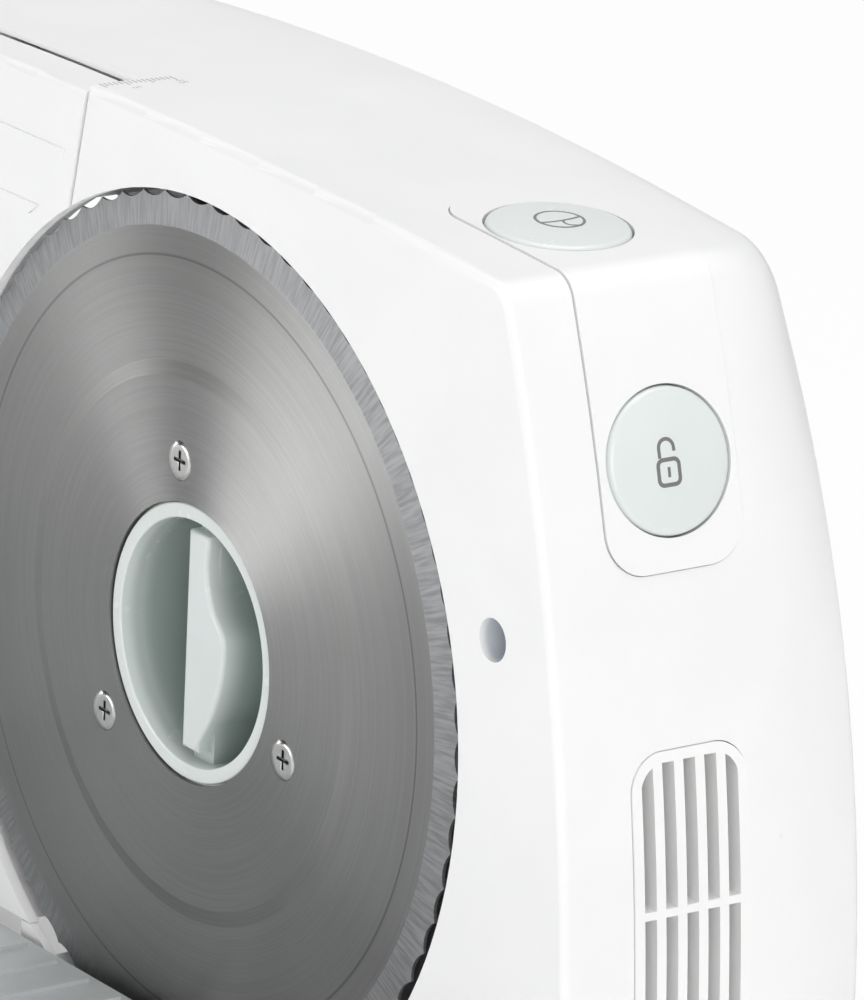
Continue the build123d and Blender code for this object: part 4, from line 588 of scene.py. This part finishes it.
world = bpy.data.worlds.new("studio_surround")
world.use_nodes = True
bpy.context.scene.world = world
surround = Signal(world.node_tree)
path = {kind: surround.node("LightPath", output=kind) for kind in
        ("Is Camera Ray", "Is Glossy Ray", "Is Transmission Ray")}
in_view = surround.math("MAXIMUM", path["Is Camera Ray"], path["Is Transmission Ray"])
way = surround.node("TexCoord", output="Generated")
beside_lamp = way.vector("DOT_PRODUCT", DIM_TOWARDS, output="Value")
in_metal = 1 - beside_lamp.between(DIM_FROM, DIM_TO) * DIM_SHARE
by_ray = path["Is Glossy Ray"] * in_metal + (1 - path["Is Glossy Ray"]) * AMBIENT
backdrop = surround.node("Background", None, {
    "Strength": in_view + (1 - in_view) * by_ray})
world.node_tree.links.new(backdrop.socket,
                          world.node_tree.nodes["World Output"].inputs["Surface"])
print("surround", world.name)

# %% [markdown]
# ## The lamps
# A product studio uses soft boxes: broad lamps whose edges blur every shadow. The one at
# the front left makes the bright wedge at the blade's upper right, a weak one at the
# left makes the paler wedge at its upper left, and the other two light the casing's
# right side and its roof. Their strengths were set against the photograph's whites.

# %% Soft lamps
OBJECT_MIDDLE = Vector((0, 0.03, 0.12))


def soft_lamp(name, place, size, watts):
    """An oblong lamp that faces the middle of the object."""
    bpy.ops.object.light_add(type="AREA", location=place)
    lamp = bpy.context.object
    lamp.name = name
    lamp.data.shape = "RECTANGLE"
    lamp.data.size, lamp.data.size_y = size
    lamp.data.energy = watts
    lamp.rotation_euler = (OBJECT_MIDDLE - Vector(place)).to_track_quat("-Z", "Y").to_euler()
    print(name, watts, "watts")


soft_lamp("lamp_front_left", (-0.77, -1.35, 0.3), (0.8, 0.5), 7.5)
soft_lamp("lamp_left", (-1.5, -0.42, 0.16), (0.5, 0.6), 2)
soft_lamp("lamp_right", (1.4, -0.5, 0.5), (0.9, 0.9), 9.5)
soft_lamp("lamp_above", (0.1, 0.2, 1.6), (1.1, 1.1), 11)

# %% [markdown]
# ## Printed signs
# The two buttons carry small grey signs: a round loaf with a slice cut from it, and an
# open padlock. Their lines have one width, as a pad printer leaves them. A line can be
# drawn by pulling a short edge from point to point, which is quicker than placing
# corners by hand and keeps the width even round the bends.

# %% Ink and the strokes it is drawn with
ink_grey = moulded_plastic("printed_grey_ink", (0.17, 0.17, 0.165, 1),
                           (0.2, 0.2, 0.19, 1), 0.5, 0.0002, 0.000001)
ink_light = moulded_plastic("printed_light_ink", (0.5, 0.5, 0.5, 1),
                            (0.55, 0.55, 0.55, 1), 0.5, 0.0002, 0.000001)
NIB = 0.00001


def pick_edge_at(piece, x, y):
    """In edit mode, selects only the free edge whose middle is nearest to a place."""
    bpy.ops.object.mode_set(mode="OBJECT")
    mesh = piece.data
    for part in (*mesh.vertices, *mesh.edges, *mesh.polygons):
        part.select = False
    spot = Vector((x, y, 0))
    middle = {e.index: sum((mesh.vertices[v].co for v in e.vertices), Vector()) / 2
              for e in mesh.edges}
    nearest = min(middle, key=lambda index: (middle[index] - spot).length)
    mesh.edges[nearest].select = True
    for v in mesh.edges[nearest].vertices:
        mesh.vertices[v].select = True
    bpy.ops.object.mode_set(mode="EDIT")
    bpy.context.tool_settings.mesh_select_mode = (False, True, False)


def stroke(points, width):
    """A flat line of one width through points, drawn by pulling an edge along them."""
    deselect()
    first, second = Vector(points[0]).to_3d(), Vector(points[1]).to_3d()
    heading = (second - first).to_2d()
    turn = math.atan2(heading.y, heading.x)
    bpy.ops.mesh.primitive_plane_add(size=1, location=first, rotation=(0, 0, turn))
    line = bpy.context.object
    line.scale = (NIB, width, 1)
    bpy.ops.object.transform_apply(location=True, rotation=True, scale=True)
    bpy.ops.object.mode_set(mode="EDIT")
    tail = first + Vector((math.cos(turn), math.sin(turn), 0)) * NIB / 2
    pick_edge_at(line, tail.x, tail.y)
    for here, there in zip(points, points[1:]):
        step = Vector(there).to_3d() - Vector(here).to_3d()
        new_turn = math.atan2(step.y, step.x)
        bpy.ops.mesh.extrude_region_move(TRANSFORM_OT_translate={"value": step})
        bend = (new_turn - turn + math.pi) % (2 * math.pi) - math.pi
        turn = new_turn
        if abs(bend) > 0.001:
            bpy.ops.transform.rotate(value=-bend, orient_axis="Z",
                                     center_override=Vector(there).to_3d())
    bpy.ops.object.mode_set(mode="OBJECT")
    return line


def outline(corners, radius, width, round_off=0.0):
    """A closed line: a polygon, its corners rounded, and all but its border removed."""
    deselect()
    bpy.ops.mesh.primitive_circle_add(vertices=corners, radius=radius, fill_type="NGON")
    line = bpy.context.object
    bpy.ops.object.mode_set(mode="EDIT")
    bpy.ops.mesh.select_all(action="SELECT")
    if round_off:
        bpy.ops.mesh.bevel(affect="VERTICES", offset=round_off, segments=5)
        bpy.ops.mesh.select_all(action="SELECT")
    bpy.ops.mesh.inset(thickness=width)
    bpy.ops.mesh.delete(type="FACE")
    bpy.ops.object.mode_set(mode="OBJECT")
    return line


def arc(centre, radius, start, end, steps):
    """Points along part of a circle, the angles in degrees."""
    return [(centre[0] + radius * math.cos(math.radians(start + (end - start) * i / steps)),
             centre[1] + radius * math.sin(math.radians(start + (end - start) * i / steps)))
            for i in range(steps + 1)]


print("inks", ink_grey.name, ink_light.name)

# %% [markdown]
# ## Printing on a curved face
# Ink is a film far thinner than paper. The flat drawing is laid down onto the button
# along the button's own axis, so it follows the crowned face, and then gets a film's
# thickness. A texture could do the same, but a mesh stays sharp at any distance.

# %% Lay a flat drawing onto a piece
INK_FILM = 0.00003
INK_WELD = 0.000002


def lay_on(parts, name, carrier, right, up, centre, ink):
    """Joins flat parts, turns them to face along right x up, and prints them on a piece."""
    deselect()
    for part in parts:
        part.select_set(True)
    bpy.context.view_layer.objects.active = parts[0]
    if len(parts) > 1:
        bpy.ops.object.join()
    sign = bpy.context.object
    sign.name = name
    bpy.ops.object.mode_set(mode="EDIT")
    bpy.ops.mesh.select_all(action="SELECT")
    bpy.ops.mesh.remove_doubles(threshold=INK_WELD)
    bpy.ops.mesh.normals_make_consistent(inside=False)
    bpy.ops.object.mode_set(mode="OBJECT")
    turned = Matrix((right, up, right.cross(up))).transposed().to_4x4()
    sign.matrix_world = Matrix.Translation(centre) @ turned
    bpy.context.view_layer.update()
    press = sign.modifiers.new("lay_down", "SHRINKWRAP")
    press.target = carrier
    press.wrap_method = "PROJECT"
    press.use_project_z = True
    press.use_negative_direction = True
    press.use_positive_direction = True
    press.offset = INK_FILM
    film = sign.modifiers.new("film", "SOLIDIFY")
    film.thickness = INK_FILM * 1.5
    film.offset = -1
    bpy.ops.object.modifier_apply(modifier=press.name)
    bpy.ops.object.modifier_apply(modifier=film.name)
    bpy.ops.object.transform_apply(location=True, rotation=True, scale=True)
    sign.data.materials.clear()
    sign.data.materials.append(ink)
    print(name, "faces", len(sign.data.polygons))
    return sign


# %% [markdown]
# ## A loaf and a padlock
# The roof and the right side of the casing are shallow arcs, and each button presses
# square to its arc. How far a button sits from the top of its arc, over the arc's radius,
# gives the lean of its axis.

# %% The loaf on the upper button
ROOF_LEAN = 106.5 / 1900
SIDE_LEAN = 124.1 / 438.2
ABOVE_FACE = 0.02  # where a drawing starts before it is laid down


def above_button(node_name, out):
    """A point straight out from a button's middle."""
    low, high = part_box(node_name)
    return (Vector(low) + Vector(high)) / 2 + out * ABOVE_FACE


slice_out = Vector((ROOF_LEAN, 0, math.sqrt(1 - ROOF_LEAN ** 2)))
loaf_line = 0.00055
loaf = outline(64, 0.0047, loaf_line)
cut_line = stroke([(0.0003, -0.0044), (0.0008, -0.0028), (0.001, -0.0013), (0.00105, -0.0001),
                   (0.0009, 0.0013), (0.0006, 0.0028), (0.0001, 0.0044)], loaf_line)
fallen = stroke([(0.00105, -0.0001), (0.002, -0.0005), (0.0029, -0.0005), (0.0036, 0.0001),
                 (0.004, 0.0011), (0.0043, 0.0018)], loaf_line * 0.9)
slice_sign = lay_on([loaf, cut_line, fallen], "slice_sign", skins["slice_button"],
                    FRONT_TO_BACK.cross(slice_out), FRONT_TO_BACK,
                    above_button("slice_button", slice_out), ink_grey)
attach(slice_sign, "slice_button")

# %% [markdown]
# ## The open padlock
# Its body is a square stood on a corner, turned upright and rounded, and its shackle is
# half a circle with one short leg. It sits a little in front of the button's middle, as
# in the photograph.

# %% The padlock on the side button
SIGN_FORWARD = 0.0012

lock_out = Vector((math.sqrt(1 - SIDE_LEAN ** 2), 0, SIDE_LEAN))
lock_line = 0.00075
lock_body = outline(4, 0.0037, lock_line, 0.0014)
work_on(lock_body)
lock_body.rotation_euler.z = math.radians(45)
lock_body.location.y = -0.0024
bpy.ops.object.transform_apply(location=True, rotation=True, scale=True)
shackle = stroke([(-0.0017, 0.0002), (-0.0017, 0.0016)]
                 + arc((-0.0001, 0.0019), 0.0016, 180, 0, 12) + [(0.0015, 0.0012)],
                 lock_line * 0.9)
keyhole = stroke([(0.0, -0.0015), (0.0, -0.0024), (0.0, -0.0033)], lock_line * 0.8)
lock_sign = lay_on([lock_body, shackle, keyhole], "lock_sign", skins["lock_button"],
                   FRONT_TO_BACK, lock_out.cross(FRONT_TO_BACK),
                   above_button("lock_button", lock_out) - FRONT_TO_BACK * SIGN_FORWARD,
                   ink_grey)
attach(lock_sign, "lock_button")

# %% [markdown]
# ## The thickness scale
# On the roof, beside the edge that the fence slides past, a row of fine lines a
# millimetre apart tells how thick the slices will be, with a figure at 5 and 15.

# %% Lines and figures of the scale
SCALE_START = Vector((-0.0044, 0.03565))
SCALE_LEAN = 0.07  # how far each line stands to the right of the one before, per pitch
TICK_PITCH = 0.001
TICK_REACH, LONG_TICK_REACH, TICK_WIDTH = 0.0018, 0.0028, 0.0004
FIGURE_HEIGHT, FIGURE_OFFSET = 0.0026, 0.0052

tick_parts = []
for count in range(16):
    reach = LONG_TICK_REACH if count % 5 == 0 else TICK_REACH
    y = SCALE_START.y + TICK_PITCH * count
    x = SCALE_START.x + SCALE_LEAN * TICK_PITCH * count
    tick_parts.append(stroke([(x, y), (x + reach / 2, y), (x + reach, y)], TICK_WIDTH))
for count in (5, 15):
    deselect()
    bpy.ops.object.text_add()
    words = bpy.context.object
    words.data.body = str(count)
    words.data.size = FIGURE_HEIGHT
    words.data.align_x = "CENTER"
    words.data.align_y = "CENTER"
    bpy.ops.object.convert(target="MESH")
    words = bpy.context.object
    words.location = (SCALE_START.x + FIGURE_OFFSET, SCALE_START.y + TICK_PITCH * count, 0)
    bpy.ops.object.transform_apply(location=True, rotation=True, scale=True)
    tick_parts.append(words)
scale_print = lay_on(tick_parts, "thickness_scale", skins["rear_housing"],
                     Vector((1, 0, 0)), FRONT_TO_BACK,
                     Vector((0, 0, cad_high.z + ABOVE_FACE)), ink_light)
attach(scale_print, "casing")
